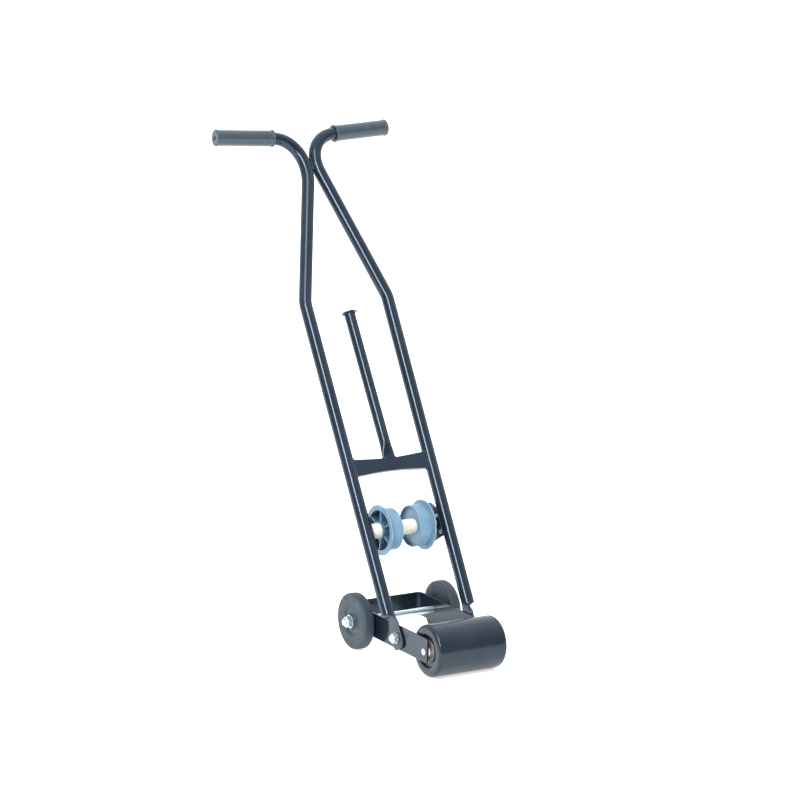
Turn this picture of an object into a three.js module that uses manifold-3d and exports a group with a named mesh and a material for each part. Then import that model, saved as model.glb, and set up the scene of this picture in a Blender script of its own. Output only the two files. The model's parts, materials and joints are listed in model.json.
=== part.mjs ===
// Walk-behind floor-marking tape applicator.
//
// Millimetres, +Z up. X runs across the tool, -Y is the roller end and +Y the end where the
// operator stands. The origin is on the floor, below the middle of the bounding box.
// The base frame rolls on two rubber wheels and a tamping roller. The handle leans back over
// the wheels, turns on two pivot bolts, and carries the tape spool and the spare-roll post.

import * as THREE from "three";
import { mergeVertices } from "three/addons/utils/BufferGeometryUtils.js";
import Module from "manifold-3d";

const wasm = await Module();
wasm.setup();

// ---------------------------------------------------------------- driving dimensions

const degrees = THREE.MathUtils.degToRad;

const GAP = 0.3; // clearance kept between touching pieces
const AXLE_Y = -74.2; // wheel axle, set so that the bounding box is centred on the origin

const WHEEL_RADIUS = 50.8; // 4 inch wheel
const WHEEL_OUTER_X = 100.9;
const WHEEL_WIDTH = 20.3;
const WHEEL_INNER_X = WHEEL_OUTER_X - WHEEL_WIDTH;
const WHEEL_EDGE_RADIUS = 5;
const WHEEL_HUB_RADIUS = 25.7;
const WHEEL_BOSS_RADIUS = 13;
const WHEEL_BORE_RADIUS = 8.3;
const WHEEL_LIP = 3; // width of the rings beside the joint of tyre and centre
const WHEEL_GROOVE = 1; // depth of the groove along that joint
const WHEEL_DISH = 2.4; // depth of the dished ring in each face
const WHEEL_BOSS_PROUD = { outer: 1.6, inner: 1 };
const AXLE_RADIUS = 6.35; // half inch rod
const THREAD_BEYOND_NUT = 3;
const THREAD_CHAMFER = 1.2;
const SPACER_RADIUS = 10;
const WHEEL_WASHER_RADIUS = 12;
const WASHER_THICKNESS = 1.6;

const ARM_OUTER_X = 75;
const ARM_THICKNESS = 3;
const ARM_INNER_X = ARM_OUTER_X - ARM_THICKNESS;
const ARM_BOTTOM_Z = 27.6;
const ARM_TOP_Z = 71.6;
const ARM_TIP_Y = -215.5; // from the wheel axle, as are all the base frame's Y values
const CROSSPIECE_Y = 50;
const FRAME_BEND_RADIUS = 11;

const ROLLER_RADIUS = 46.5;
const ROLLER_Y = -204.9;
const ROLLER_HALF_LENGTH = 70;
const ROLLER_EDGE_RADIUS = 7;
const ROLLER_RECESS_DEPTH = 5;
const ROLLER_RECESS_RADIUS = 30;
const ROLLER_RECESS_TAPER = 2;
const ROLLER_CORE_RADIUS = 20;
const ROLLER_CORE_BORE = 9;
const ROLLER_CORE_INSET = 2.5; // from the ends of the rubber
const ROLLER_AXLE_RADIUS = 5;
const ROLLER_BUSHING_LENGTH = 18;
const PEEN_RADIUS = 6.2; // rounded ends of the roller axle
const PEEN_TIP_RADIUS = 3.7;
const PEEN_HEIGHT = 2.2;

const HANDLE_LEAN = degrees(31.2);
const HANDLE_FOOT_Y = -148.7; // where the handle plane meets the floor, from the wheel axle
const TUBE_RADIUS = 11.8;
const TUBE_WALL = 1.2;
const TUBE_FOOT_U = 82.9; // half spacing at the floor
const KNEE_U = 86;
const KNEE_W = 689.5;
const KNEE_BEND_RADIUS = 60;
// Each shoulder bend runs from the neck to the grip. The corner is where the neck's and the
// grip's middle lines cross; the reaches are the distances from it to the ends of the bend.
const SHOULDER = {
  left: { cornerU: -10.4, cornerW: 1004.5, neckReach: 94, gripReach: 74.7, rise: degrees(5) },
  right: { cornerU: -5, cornerW: 1008.7, neckReach: 73, gripReach: 69.1, rise: degrees(3.9) },
};
const NECK_WELD_W = 955; // middle of the bead between the two tubes
const GRIP_SWEEP = degrees(2.3); // how far each grip turns towards the operator
const GRIP_LENGTH = 116;
const GRIP_RADIUS = 14.8;
const GRIP_FLANGE_RADIUS = 16.2;
const GRIP_FLANGE_SHEET = 3;
const GRIP_BEAD_RADIUS = 15.7; // raised ring near the closed end
const GRIP_BEAD_LENGTH = 5;
const GRIP_EDGE = 1.4;
const GRIP_END_WALL = 4;
const GRIP_VENT_RADIUS = 3; // hole in the closed end

const TAB_INNER_X = ARM_OUTER_X + GAP;
const TAB_THICKNESS = 4.2;
const TAB_HALF_WIDTH = 17.2;
const TAB_BOTTOM_W = 36.5;
const TAB_CORNER = 10; // radius of its bottom corners
const TAB_TOP_W = 86; // full width up to here
const TAB_FOLD_W = 92; // flat up to here
const TAB_FOLD_HALF_WIDTH = 12.9;
const TUBE_START_W = 100; // round from here up
const PIVOT_W = 57.4;

const CROSSBAR_BOTTOM_W = 355.8;
const CROSSBAR_TOP_W = 387.2;
const CROSSBAR_WAIST_BOTTOM_W = 359.2;
const CROSSBAR_WAIST_TOP_W = 383.7;
const CROSSBAR_SHOULDER_U = 46; // where its edges curve between the ends and the waist
const CROSSBAR_FRONT_N = -6.6;
const CROSSBAR_DEPTH = 12.4;
const CROSSBAR_SHEET = 2.5;
const CUT_BEYOND = 20; // how far a cutting tool runs past what it cuts

const POST_RADIUS = 10.3;
const POST_WALL = 1.5;
const POST_TOP_W = 662.5;
const POST_FOOT_HALF_WIDTH = 13.3;
const POST_FOOT_HALF_DEPTH = 4;
const POST_FOOT_N = -2.4; // the post leans back a little as it rises
const POST_TOP_N = 2.5;
const POST_CRIMP = 30; // length of the flattened foot
const POST_CAP_RADIUS = 14.8;
const POST_PLUG_LENGTH = 15;

const SPOOL_W = 258.4;
const SPOOL_N = 17.6;
const SPOOL_ROD_RADIUS = 4;
const BRACKET_INNER_X = 69.6;
const BRACKET_SHEET = 2.2;
const BRACKET_FRONT_N = -1.5;
const BRACKET_BACK_N = 37;
const BRACKET_BOTTOM_W = 229;
const BRACKET_TOP_W = 297;
const BRACKET_SLANT = { n: 15, w: 280 }; // ends of the cut-back front top corner
const BRACKET_CORNER_RADIUS = { bottom: 6, top: 12 };
const SLEEVE_RADIUS = 13.5;
const SLEEVE_HALF_LENGTH = 66.5;
const HUB_FLANGE_RADIUS = 45.5;
const HUB_BODY_RADIUS = 38.1; // seats a 76 mm tape core
const HUB_WALL = 2.4;
const HUB_FLANGE_X = 46.5; // outer face of each flange
const HUB_INNER_X = 18;
const HUB_FLANGE_SHEET = 3;
const HUB_BOSS_RADIUS = 17.4;
const HUB_WEB_X = 27; // outer face of the web
const HUB_WEB_SHEET = 2.5;
const HUB_BOSS_X = 47.8; // the boss stands a little proud of the flange
const HUB_SPOKES = 6;
const HUB_SPOKE_WIDTH = 3;
const HUB_EDGE = 0.7; // chamfers and mould taper

const PIVOT_BOLT_RADIUS = 5;
const M10_NUT = { flats: 17, height: 8 };
const HALF_INCH_NUT = { flats: 19.05, height: 9 };

const ROUND = 28; // sides of a large turned piece
const SMALL_ROUND = 14; // sides of a small turned piece
const TUBE_SIDES = 14;
const GRIP_SIDES = 20;
const ROLLER_SIDES = 32;

// ---------------------------------------------------------------- materials

const material = (color, roughness, metalness) =>
  new THREE.MeshStandardMaterial({ color, roughness, metalness });

const FINISH = {
  paint: material(0x14181c, 0.3, 0.1),
  rubber: material(0x3c4347, 0.75, 0),
  hubRubber: material(0x464d51, 0.7, 0),
  grip: material(0x3a4348, 0.65, 0),
  zinc: material(0xb9c4c8, 0.35, 1),
  steel: material(0x6f6a64, 0.5, 1),
  nylon: material(0xd8d6cc, 0.5, 0),
  spool: material(0x6b93b5, 0.45, 0),
  sleeve: material(0xece8dc, 0.45, 0),
};

// ---------------------------------------------------------------- solid helpers

/** A geometry as a Manifold solid. */
function solid(geometry) {
  const bare = geometry.index ? geometry.toNonIndexed() : geometry.clone();
  for (const name of Object.keys(bare.attributes)) {
    if (name !== "position") bare.deleteAttribute(name);
  }
  const merged = mergeVertices(bare, 1e-4);
  return new wasm.Manifold(
    new wasm.Mesh({
      numProp: 3,
      vertProperties: Float32Array.from(merged.attributes.position.array),
      triVerts: Uint32Array.from(merged.index.array),
    })
  );
}

/** A Manifold solid as a geometry. */
function geometryOf(manifold) {
  const mesh = manifold.getMesh();
  const geometry = new THREE.BufferGeometry();
  geometry.setAttribute("position", new THREE.BufferAttribute(mesh.vertProperties.slice(), 3));
  geometry.setIndex(new THREE.BufferAttribute(mesh.triVerts.slice(), 1));
  geometry.computeVertexNormals();
  return geometry;
}

/** A solid through rings of points, all with the same number of points, closed at both ends. */
function loft(rings) {
  const sides = rings[0].length;
  const positions = rings.flat().flatMap((point) => [point.x, point.y, point.z]);
  const index = [];
  for (let ring = 0; ring + 1 < rings.length; ring++) {
    for (let side = 0; side < sides; side++) {
      const a = ring * sides + side;
      const b = ring * sides + ((side + 1) % sides);
      index.push(a, b, a + sides, b, b + sides, a + sides);
    }
  }
  const last = (rings.length - 1) * sides;
  for (let side = 1; side + 1 < sides; side++) {
    index.push(0, side + 1, side);
    index.push(last, last + side, last + side + 1);
  }
  const geometry = new THREE.BufferGeometry();
  geometry.setAttribute("position", new THREE.Float32BufferAttribute(positions, 3));
  geometry.setIndex(index);
  return geometry;
}

/** A turned solid about the X axis, from a closed profile of [x, radius] points, in any order. */
function turnedX(profile, sides = SMALL_ROUND) {
  const points = profile.map(([x, radius]) => new THREE.Vector2(radius, x));
  if (THREE.ShapeUtils.area(points) < 0) points.reverse();
  const onAxis = points[0].x === 0 && points.at(-1).x === 0;
  if (!onAxis) points.push(points[0].clone());
  return new THREE.LatheGeometry(points, sides).rotateZ(-Math.PI / 2);
}

/** A plain bush about the X axis. */
function bushX(x0, x1, innerRadius, outerRadius, sides = SMALL_ROUND) {
  return turnedX([[x0, innerRadius], [x0, outerRadius], [x1, outerRadius], [x1, innerRadius]], sides);
}

/** A round bar about the X axis, used for rods and for cutting holes. */
function barX(x0, x1, radius, sides = SMALL_ROUND) {
  return turnedX([[x0, 0], [x0, radius], [x1, radius], [x1, 0]], sides);
}

/** Points of an arc as [x, radius] pairs, for a rounded edge of a turned profile. */
function arc(centreX, centreRadius, radius, fromDegrees, toDegrees, steps = 4) {
  return Array.from({ length: steps + 1 }, (_, i) => {
    const angle = THREE.MathUtils.degToRad(fromDegrees + ((toDegrees - fromDegrees) * i) / steps);
    return [centreX + radius * Math.cos(angle), centreRadius + radius * Math.sin(angle)];
  });
}

/** A hexagonal prism about the X axis with a hole through it, or none when the radius is 0. */
function hexX(x0, x1, flats, holeRadius) {
  const blank = barX(x0, x1, flats / 2 / Math.cos(Math.PI / 6), 6);
  if (holeRadius === 0) return blank;
  return geometryOf(solid(blank).subtract(solid(barX(x0 - 1, x1 + 1, holeRadius))));
}

const assembly = new THREE.Group();
const base = new THREE.Group();
base.position.y = AXLE_Y;
const handle = new THREE.Group();
handle.position.y = AXLE_Y + HANDLE_FOOT_Y;
handle.rotation.x = -HANDLE_LEAN;
assembly.add(base, handle);

function place(group, name, geometry, finish, position = [0, 0, 0]) {
  const mesh = new THREE.Mesh(geometry, finish);
  mesh.name = name;
  mesh.position.set(...position);
  group.add(mesh);
}

/** Runs once for each side: -1 is the left, +1 the right. */
function eachSide(build) {
  build(-1, "left");
  build(1, "right");
}

/** A profile for the +X side, mirrored for the -X side. */
function sided(profile, side) {
  return profile.map(([x, radius]) => [x * side, radius]);
}

/** Two X values of the +X side, mirrored for the -X side and in rising order. */
function span(side, near, far) {
  return side > 0 ? [near, far] : [-far, -near];
}

// ---------------------------------------------------------------- base frame

const PIVOT_Y = HANDLE_FOOT_Y + PIVOT_W * Math.sin(HANDLE_LEAN);
const PIVOT_Z = PIVOT_W * Math.cos(HANDLE_LEAN);

function baseFrame() {
  const inner = FRAME_BEND_RADIUS - ARM_THICKNESS;
  const outline = new THREE.Shape();
  outline.moveTo(-ARM_OUTER_X, ARM_TIP_Y);
  outline.lineTo(-ARM_INNER_X, ARM_TIP_Y);
  outline.absarc(-ARM_INNER_X + inner, CROSSPIECE_Y - FRAME_BEND_RADIUS, inner, Math.PI, Math.PI / 2, true);
  outline.absarc(ARM_INNER_X - inner, CROSSPIECE_Y - FRAME_BEND_RADIUS, inner, Math.PI / 2, 0, true);
  outline.lineTo(ARM_INNER_X, ARM_TIP_Y);
  outline.lineTo(ARM_OUTER_X, ARM_TIP_Y);
  outline.absarc(ARM_INNER_X - inner, CROSSPIECE_Y - FRAME_BEND_RADIUS, FRAME_BEND_RADIUS, 0, Math.PI / 2);
  outline.absarc(
    -ARM_INNER_X + inner, CROSSPIECE_Y - FRAME_BEND_RADIUS, FRAME_BEND_RADIUS, Math.PI / 2, Math.PI
  );
  const blank = new THREE.ExtrudeGeometry(outline, {
    depth: ARM_TOP_Z - ARM_BOTTOM_Z,
    bevelEnabled: false,
    curveSegments: 5,
  }).translate(0, 0, ARM_BOTTOM_Z);
  const holes = [
    [0, WHEEL_RADIUS, AXLE_RADIUS],
    [PIVOT_Y, PIVOT_Z, PIVOT_BOLT_RADIUS],
    [ROLLER_Y, ROLLER_RADIUS, ROLLER_AXLE_RADIUS],
  ];
  let frame = solid(blank);
  for (const [y, z, radius] of holes) {
    const drill = barX(-ARM_OUTER_X - 1, ARM_OUTER_X + 1, radius + GAP).translate(0, y, z);
    frame = frame.subtract(solid(drill));
  }
  return geometryOf(frame);
}

place(base, "base_frame", baseFrame(), FINISH.paint);

// ---------------------------------------------------------------- wheels and their axle

const BOSS_OUTER_X = WHEEL_OUTER_X + WHEEL_BOSS_PROUD.outer;
const BOSS_INNER_X = WHEEL_INNER_X - WHEEL_BOSS_PROUD.inner;
const WHEEL_WASHER_X = BOSS_OUTER_X + GAP;
const WHEEL_NUT_X = WHEEL_WASHER_X + WASHER_THICKNESS + GAP;
const WHEEL_AXLE_HALF = WHEEL_NUT_X + HALF_INCH_NUT.height + THREAD_BEYOND_NUT;

function wheelTyre(side) {
  const round = WHEEL_EDGE_RADIUS;
  const profile = [
    [WHEEL_INNER_X + WHEEL_GROOVE, WHEEL_HUB_RADIUS + GAP],
    [WHEEL_OUTER_X - WHEEL_GROOVE, WHEEL_HUB_RADIUS + GAP],
    [WHEEL_OUTER_X, WHEEL_HUB_RADIUS + WHEEL_LIP],
    ...arc(WHEEL_OUTER_X - round, WHEEL_RADIUS - round, round, 0, 90),
    ...arc(WHEEL_INNER_X + round, WHEEL_RADIUS - round, round, 90, 180),
    [WHEEL_INNER_X, WHEEL_HUB_RADIUS + WHEEL_LIP],
  ];
  return turnedX(sided(profile, side), ROUND);
}

function wheelHub(side) {
  const dishRadius = WHEEL_BOSS_RADIUS + WHEEL_LIP / 2;
  const profile = [
    [BOSS_INNER_X, WHEEL_BORE_RADIUS],
    [BOSS_OUTER_X, WHEEL_BORE_RADIUS],
    [BOSS_OUTER_X, WHEEL_BOSS_RADIUS],
    [WHEEL_OUTER_X - WHEEL_DISH, dishRadius],
    [WHEEL_OUTER_X - WHEEL_DISH, WHEEL_HUB_RADIUS - WHEEL_LIP],
    [WHEEL_OUTER_X - WHEEL_GROOVE, WHEEL_HUB_RADIUS],
    [WHEEL_INNER_X + WHEEL_GROOVE, WHEEL_HUB_RADIUS],
    [WHEEL_INNER_X + WHEEL_DISH, WHEEL_HUB_RADIUS - WHEEL_LIP],
    [WHEEL_INNER_X + WHEEL_DISH, dishRadius],
    [BOSS_INNER_X, WHEEL_BOSS_RADIUS],
  ];
  return turnedX(sided(profile, side), ROUND);
}

eachSide((side, word) => {
  const axle = [0, 0, WHEEL_RADIUS];
  const bore = AXLE_RADIUS + GAP;
  place(base, `wheel_tyre_${word}`, wheelTyre(side), FINISH.rubber, axle);
  place(base, `wheel_hub_${word}`, wheelHub(side), FINISH.hubRubber, axle);
  const bushing = [
    [BOSS_INNER_X + GAP, bore],
    [BOSS_OUTER_X - GAP, bore],
    [BOSS_OUTER_X - GAP, WHEEL_BORE_RADIUS - GAP],
    [BOSS_INNER_X + GAP, WHEEL_BORE_RADIUS - GAP],
  ];
  place(base, `wheel_bushing_${word}`, turnedX(sided(bushing, side)), FINISH.steel, axle);
  const spacer = span(side, ARM_OUTER_X + GAP, BOSS_INNER_X - GAP);
  place(base, `axle_spacer_${word}`, bushX(...spacer, bore, SPACER_RADIUS), FINISH.zinc, axle);
  const washer = span(side, WHEEL_WASHER_X, WHEEL_WASHER_X + WASHER_THICKNESS);
  place(base, `axle_washer_${word}`, bushX(...washer, bore, WHEEL_WASHER_RADIUS), FINISH.zinc, axle);
  const nut = span(side, WHEEL_NUT_X, WHEEL_NUT_X + HALF_INCH_NUT.height);
  place(base, `axle_nut_${word}`, hexX(...nut, HALF_INCH_NUT.flats, bore), FINISH.zinc, axle);
});

const wheelAxle = turnedX([
  [-WHEEL_AXLE_HALF, 0],
  [-WHEEL_AXLE_HALF, AXLE_RADIUS - THREAD_CHAMFER],
  [-WHEEL_AXLE_HALF + THREAD_CHAMFER, AXLE_RADIUS],
  [WHEEL_AXLE_HALF - THREAD_CHAMFER, AXLE_RADIUS],
  [WHEEL_AXLE_HALF, AXLE_RADIUS - THREAD_CHAMFER],
  [WHEEL_AXLE_HALF, 0],
]);
place(base, "wheel_axle", wheelAxle, FINISH.zinc, [0, 0, WHEEL_RADIUS]);

// ---------------------------------------------------------------- tamping roller

const ROLLER_CENTRE = [0, ROLLER_Y, ROLLER_RADIUS];
const CORE_HALF_LENGTH = ROLLER_HALF_LENGTH - ROLLER_CORE_INSET;

function rollerRubber() {
  const round = ROLLER_EDGE_RADIUS;
  const end = ROLLER_HALF_LENGTH;
  const recessX = end - ROLLER_RECESS_DEPTH;
  const bore = ROLLER_CORE_RADIUS + GAP;
  return turnedX([
    [-recessX, bore],
    [recessX, bore],
    [recessX, ROLLER_RECESS_RADIUS - ROLLER_RECESS_TAPER],
    [end, ROLLER_RECESS_RADIUS],
    ...arc(end - round, ROLLER_RADIUS - round, round, 0, 90),
    ...arc(-end + round, ROLLER_RADIUS - round, round, 90, 180),
    [-end, ROLLER_RECESS_RADIUS],
    [-recessX, ROLLER_RECESS_RADIUS - ROLLER_RECESS_TAPER],
  ], ROLLER_SIDES);
}

const rollerCore = bushX(-CORE_HALF_LENGTH, CORE_HALF_LENGTH, ROLLER_CORE_BORE, ROLLER_CORE_RADIUS, 24);
place(base, "roller_rubber", rollerRubber(), FINISH.rubber, ROLLER_CENTRE);
place(base, "roller_core", rollerCore, FINISH.steel, ROLLER_CENTRE);

eachSide((side, word) => {
  const bore = ROLLER_AXLE_RADIUS + GAP;
  const bush = span(side, CORE_HALF_LENGTH - ROLLER_BUSHING_LENGTH, CORE_HALF_LENGTH);
  const bushing = bushX(...bush, bore, ROLLER_CORE_BORE - GAP);
  place(base, `roller_bushing_${word}`, bushing, FINISH.nylon, ROLLER_CENTRE);
  const spacer = span(side, CORE_HALF_LENGTH + GAP, ARM_INNER_X - GAP);
  place(base, `roller_spacer_${word}`, bushX(...spacer, bore, SPACER_RADIUS), FINISH.nylon, ROLLER_CENTRE);
});

const peenX = ARM_OUTER_X + GAP;
const rollerAxle = turnedX([
  [-peenX - PEEN_HEIGHT, 0],
  [-peenX - PEEN_HEIGHT, PEEN_TIP_RADIUS],
  [-peenX, PEEN_RADIUS],
  [-peenX, ROLLER_AXLE_RADIUS],
  [peenX, ROLLER_AXLE_RADIUS],
  [peenX, PEEN_RADIUS],
  [peenX + PEEN_HEIGHT, PEEN_TIP_RADIUS],
  [peenX + PEEN_HEIGHT, 0],
]);
place(base, "roller_axle", rollerAxle, FINISH.zinc, ROLLER_CENTRE);

// ---------------------------------------------------------------- handle tubes
// Handle pieces use the handle's own axes: X across, Y behind the handle plane, Z up the tubes.

/** A point some way along a direction in the handle plane. */
function along(point, angle, distance) {
  return new THREE.Vector2(
    point.x + distance * Math.cos(angle), point.y + distance * Math.sin(angle)
  );
}

/** The half of the handle's shape that differs between its sides. */
function shoulderOf(side) {
  const { cornerU, cornerW, neckReach, gripReach, rise } = side < 0 ? SHOULDER.left : SHOULDER.right;
  const corner = new THREE.Vector2(cornerU, cornerW);
  const neck = corner.clone().sub(new THREE.Vector2(KNEE_U, KNEE_W)).angle();
  return { corner, neck, neckReach, rise, exit: along(corner, rise, gripReach) };
}

const SHAFT_ANGLE = Math.atan2(KNEE_W, KNEE_U - TUBE_FOOT_U);

/** Half spacing of the tubes' middle lines below the knee. */
function shaftU(w) {
  return TUBE_FOOT_U + w / Math.tan(SHAFT_ANGLE);
}

/** The middle line of a tube: points, their direction angles, and their distance behind the plane. */
function tubeStations(side) {
  const { corner, neck, neckReach, rise, exit } = shoulderOf(side);
  const kneeTurn = neck - SHAFT_ANGLE;
  const knee = new THREE.Vector2(KNEE_U, KNEE_W);
  const kneeStart = along(knee, SHAFT_ANGLE, -KNEE_BEND_RADIUS * Math.tan(kneeTurn / 2));
  const kneeCentre = along(kneeStart, SHAFT_ANGLE + Math.PI / 2, KNEE_BEND_RADIUS);
  const stations = [];
  const kneeSteps = 4;
  for (let i = 0; i <= kneeSteps; i++) {
    const angle = SHAFT_ANGLE + (kneeTurn * i) / kneeSteps;
    stations.push({ point: along(kneeCentre, angle - Math.PI / 2, KNEE_BEND_RADIUS), angle, behind: 0 });
  }
  const fromNeck = along(corner, neck, -neckReach).sub(corner);
  const toGrip = exit.clone().sub(corner);
  const bendSteps = 9;
  for (let i = 0; i <= bendSteps; i++) {
    const turn = ((i / bendSteps) * Math.PI) / 2;
    const point = corner.clone()
      .addScaledVector(fromNeck, 1 - Math.sin(turn))
      .addScaledVector(toGrip, 1 - Math.cos(turn));
    const heading = new THREE.Vector2()
      .addScaledVector(fromNeck, -Math.cos(turn))
      .addScaledVector(toGrip, Math.sin(turn));
    stations.push({ point, angle: heading.angle(), behind: 0 });
  }
  return { stations, rise, exit };
}

/** A station inside the grip, some way beyond the bend. */
function gripStation({ exit, rise }, distance) {
  return {
    point: along(exit, rise, distance * Math.cos(GRIP_SWEEP)),
    angle: rise,
    behind: distance * Math.sin(GRIP_SWEEP),
  };
}

/** A ring across the centre line: a circle, or a flattened tube when the half sizes differ. */
function tubeRing({ point, angle, behind: centre = 0 }, halfDepth, halfWidth, side) {
  const across = new THREE.Vector2(Math.sin(angle), -Math.cos(angle));
  const ring = [];
  for (let i = 0; i < TUBE_SIDES; i++) {
    const turn = ((i + 0.5) / TUBE_SIDES) * Math.PI * 2;
    const reach = THREE.MathUtils.clamp(Math.cos(turn) * 1.6, -1, 1) * (halfWidth - halfDepth);
    const behind = centre + reach + halfDepth * Math.cos(turn);
    const outward = halfDepth * Math.sin(turn);
    ring.push(
      new THREE.Vector3(
        side * (point.x + across.x * outward), behind, point.y + across.y * outward
      )
    );
  }
  return side > 0 ? ring.reverse() : ring;
}

function handleTube(side) {
  const route = tubeStations(side);
  const tabCentre = TAB_INNER_X + TAB_THICKNESS / 2;
  const half = TAB_THICKNESS / 2;
  const upright = Math.PI / 2;
  const flat = (w, width) =>
    tubeRing({ point: new THREE.Vector2(tabCentre, w), angle: upright }, half, width, side);
  const corner = (turn) =>
    flat(
      TAB_BOTTOM_W + TAB_CORNER * (1 - Math.cos(turn)),
      TAB_HALF_WIDTH - TAB_CORNER * (1 - Math.sin(turn))
    );
  const opening = (share, shrink) => {
    const w = THREE.MathUtils.lerp(TAB_FOLD_W, TUBE_START_W, share);
    const depth = THREE.MathUtils.lerp(half, TUBE_RADIUS, share) - shrink;
    const width = THREE.MathUtils.lerp(TAB_FOLD_HALF_WIDTH, TUBE_RADIUS, share) - shrink;
    const u = THREE.MathUtils.lerp(tabCentre, shaftU(w), share);
    return tubeRing({ point: new THREE.Vector2(u, w), angle: upright }, depth, width, side);
  };
  const round = (station, radius) => tubeRing(station, radius, radius, side);
  const boreEnd = GRIP_LENGTH - GRIP_END_WALL;
  const tubeEnd = boreEnd - 2;
  const outer = [
    ...[0, 30, 60, 90].map((turn) => corner(degrees(turn))),
    flat(TAB_TOP_W, TAB_HALF_WIDTH),
    flat(TAB_FOLD_W, TAB_FOLD_HALF_WIDTH),
    opening(0.4, 0),
    opening(0.75, 0),
    opening(1, 0),
    ...route.stations.map((station) => round(station, TUBE_RADIUS)),
    round(gripStation(route, tubeEnd), TUBE_RADIUS),
  ];
  const bore = [
    opening(0.75, TUBE_WALL),
    opening(1, TUBE_WALL),
    ...route.stations.map((station) => round(station, TUBE_RADIUS - TUBE_WALL)),
    round(gripStation(route, boreEnd), TUBE_RADIUS - TUBE_WALL),
  ];
  const hole = barX(-2 * TUBE_FOOT_U, 2 * TUBE_FOOT_U, PIVOT_BOLT_RADIUS + GAP);
  hole.rotateX(HANDLE_LEAN).translate(0, 0, PIVOT_W);
  return geometryOf(solid(loft(outer)).subtract(solid(loft(bore))).subtract(solid(hole)));
}

function grip() {
  const bore = TUBE_RADIUS + GAP;
  const end = GRIP_LENGTH;
  const profile = [
    [0, bore],
    [end - GRIP_END_WALL, bore],
    [end - GRIP_END_WALL, GRIP_VENT_RADIUS],
    [end, GRIP_VENT_RADIUS],
    [end, GRIP_RADIUS - GRIP_EDGE],
    [end - GRIP_EDGE, GRIP_BEAD_RADIUS],
    [end - GRIP_BEAD_LENGTH + GRIP_EDGE, GRIP_BEAD_RADIUS],
    [end - GRIP_BEAD_LENGTH, GRIP_RADIUS],
    [GRIP_FLANGE_SHEET, GRIP_RADIUS],
    [GRIP_FLANGE_SHEET, GRIP_FLANGE_RADIUS],
    [0, GRIP_FLANGE_RADIUS],
  ];
  return turnedX(profile, GRIP_SIDES);
}

eachSide((side, word) => {
  place(handle, `handle_tube_${word}`, handleTube(side), FINISH.paint);
  const route = tubeStations(side);
  const start = gripStation(route, GAP);
  const sleeve = grip()
    .rotateZ(side > 0 ? GRIP_SWEEP : Math.PI - GRIP_SWEEP)
    .rotateY(-side * route.rise);
  const position = [side * start.point.x, start.behind, start.point.y];
  place(handle, `grip_${word}`, sleeve, FINISH.grip, position);
});

// The bead that joins the two tubes where they meet.
const WELD_HALF_SIZE = [2.4, 2, 11];
const WELD_N = -5.2;
const weldBead = new THREE.SphereGeometry(1, 12, 8).scale(...WELD_HALF_SIZE);
const beadSolid = [-1, 1].reduce((bead, side) => {
  const reach = TUBE_RADIUS + GAP;
  const rings = tubeStations(side).stations.map((station) => tubeRing(station, reach, reach, side));
  return bead.subtract(solid(loft(rings)));
}, solid(weldBead.translate(0, WELD_N, NECK_WELD_W)));
place(handle, "handle_weld", geometryOf(beadSolid), FINISH.paint);

// ---------------------------------------------------------------- crossbar and spare-roll post

/** The crossbar's outline between two depths of inset from its curved top and bottom edges. */
function crossbarOutline(insetBottom, insetTop) {
  const end = KNEE_U;
  const shoulder = CROSSBAR_SHOULDER_U;
  const outline = new THREE.Shape();
  outline.moveTo(-end, CROSSBAR_BOTTOM_W + insetBottom);
  outline.bezierCurveTo(
    -shoulder, CROSSBAR_BOTTOM_W + insetBottom, -shoulder, CROSSBAR_WAIST_BOTTOM_W + insetBottom,
    0, CROSSBAR_WAIST_BOTTOM_W + insetBottom
  );
  outline.bezierCurveTo(
    shoulder, CROSSBAR_WAIST_BOTTOM_W + insetBottom, shoulder, CROSSBAR_BOTTOM_W + insetBottom,
    end, CROSSBAR_BOTTOM_W + insetBottom
  );
  outline.lineTo(end, CROSSBAR_TOP_W - insetTop);
  outline.bezierCurveTo(
    shoulder, CROSSBAR_TOP_W - insetTop, shoulder, CROSSBAR_WAIST_TOP_W - insetTop,
    0, CROSSBAR_WAIST_TOP_W - insetTop
  );
  outline.bezierCurveTo(
    -shoulder, CROSSBAR_WAIST_TOP_W - insetTop, -shoulder, CROSSBAR_TOP_W - insetTop,
    -end, CROSSBAR_TOP_W - insetTop
  );
  return outline;
}

/** A sheet drawn in the handle plane, from one depth behind the plane to another. */
function platePlane(outline, frontN, backN, curveSegments) {
  return new THREE.ExtrudeGeometry(outline, {
    depth: backN - frontN,
    bevelEnabled: false,
    curveSegments,
  }).rotateX(Math.PI / 2).translate(0, backN, 0);
}

function crossbar() {
  const back = CROSSBAR_FRONT_N + CROSSBAR_DEPTH;
  const blank = solid(platePlane(crossbarOutline(0, 0), CROSSBAR_FRONT_N, back, 5));
  const channel = platePlane(
    crossbarOutline(CROSSBAR_SHEET, CROSSBAR_SHEET), CROSSBAR_FRONT_N + CROSSBAR_SHEET, back + CUT_BEYOND, 5
  );
  let bar = blank.subtract(solid(channel));
  for (const side of [-1, 1]) {
    const rings = [CROSSBAR_BOTTOM_W - CUT_BEYOND, CROSSBAR_TOP_W + CUT_BEYOND].map((w) => {
      const station = { point: new THREE.Vector2(shaftU(w), w), angle: SHAFT_ANGLE };
      return tubeRing(station, TUBE_RADIUS + GAP, TUBE_RADIUS + GAP, side);
    });
    bar = bar.subtract(solid(loft(rings)));
  }
  const parts = bar.decompose();
  parts.sort((a, b) => b.volume() - a.volume());
  return geometryOf(parts[0]);
}

place(handle, "crossbar", crossbar(), FINISH.paint);

const POST_FOOT_W = CROSSBAR_WAIST_TOP_W + GAP;
const POST_INNER = POST_RADIUS - POST_WALL;

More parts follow.
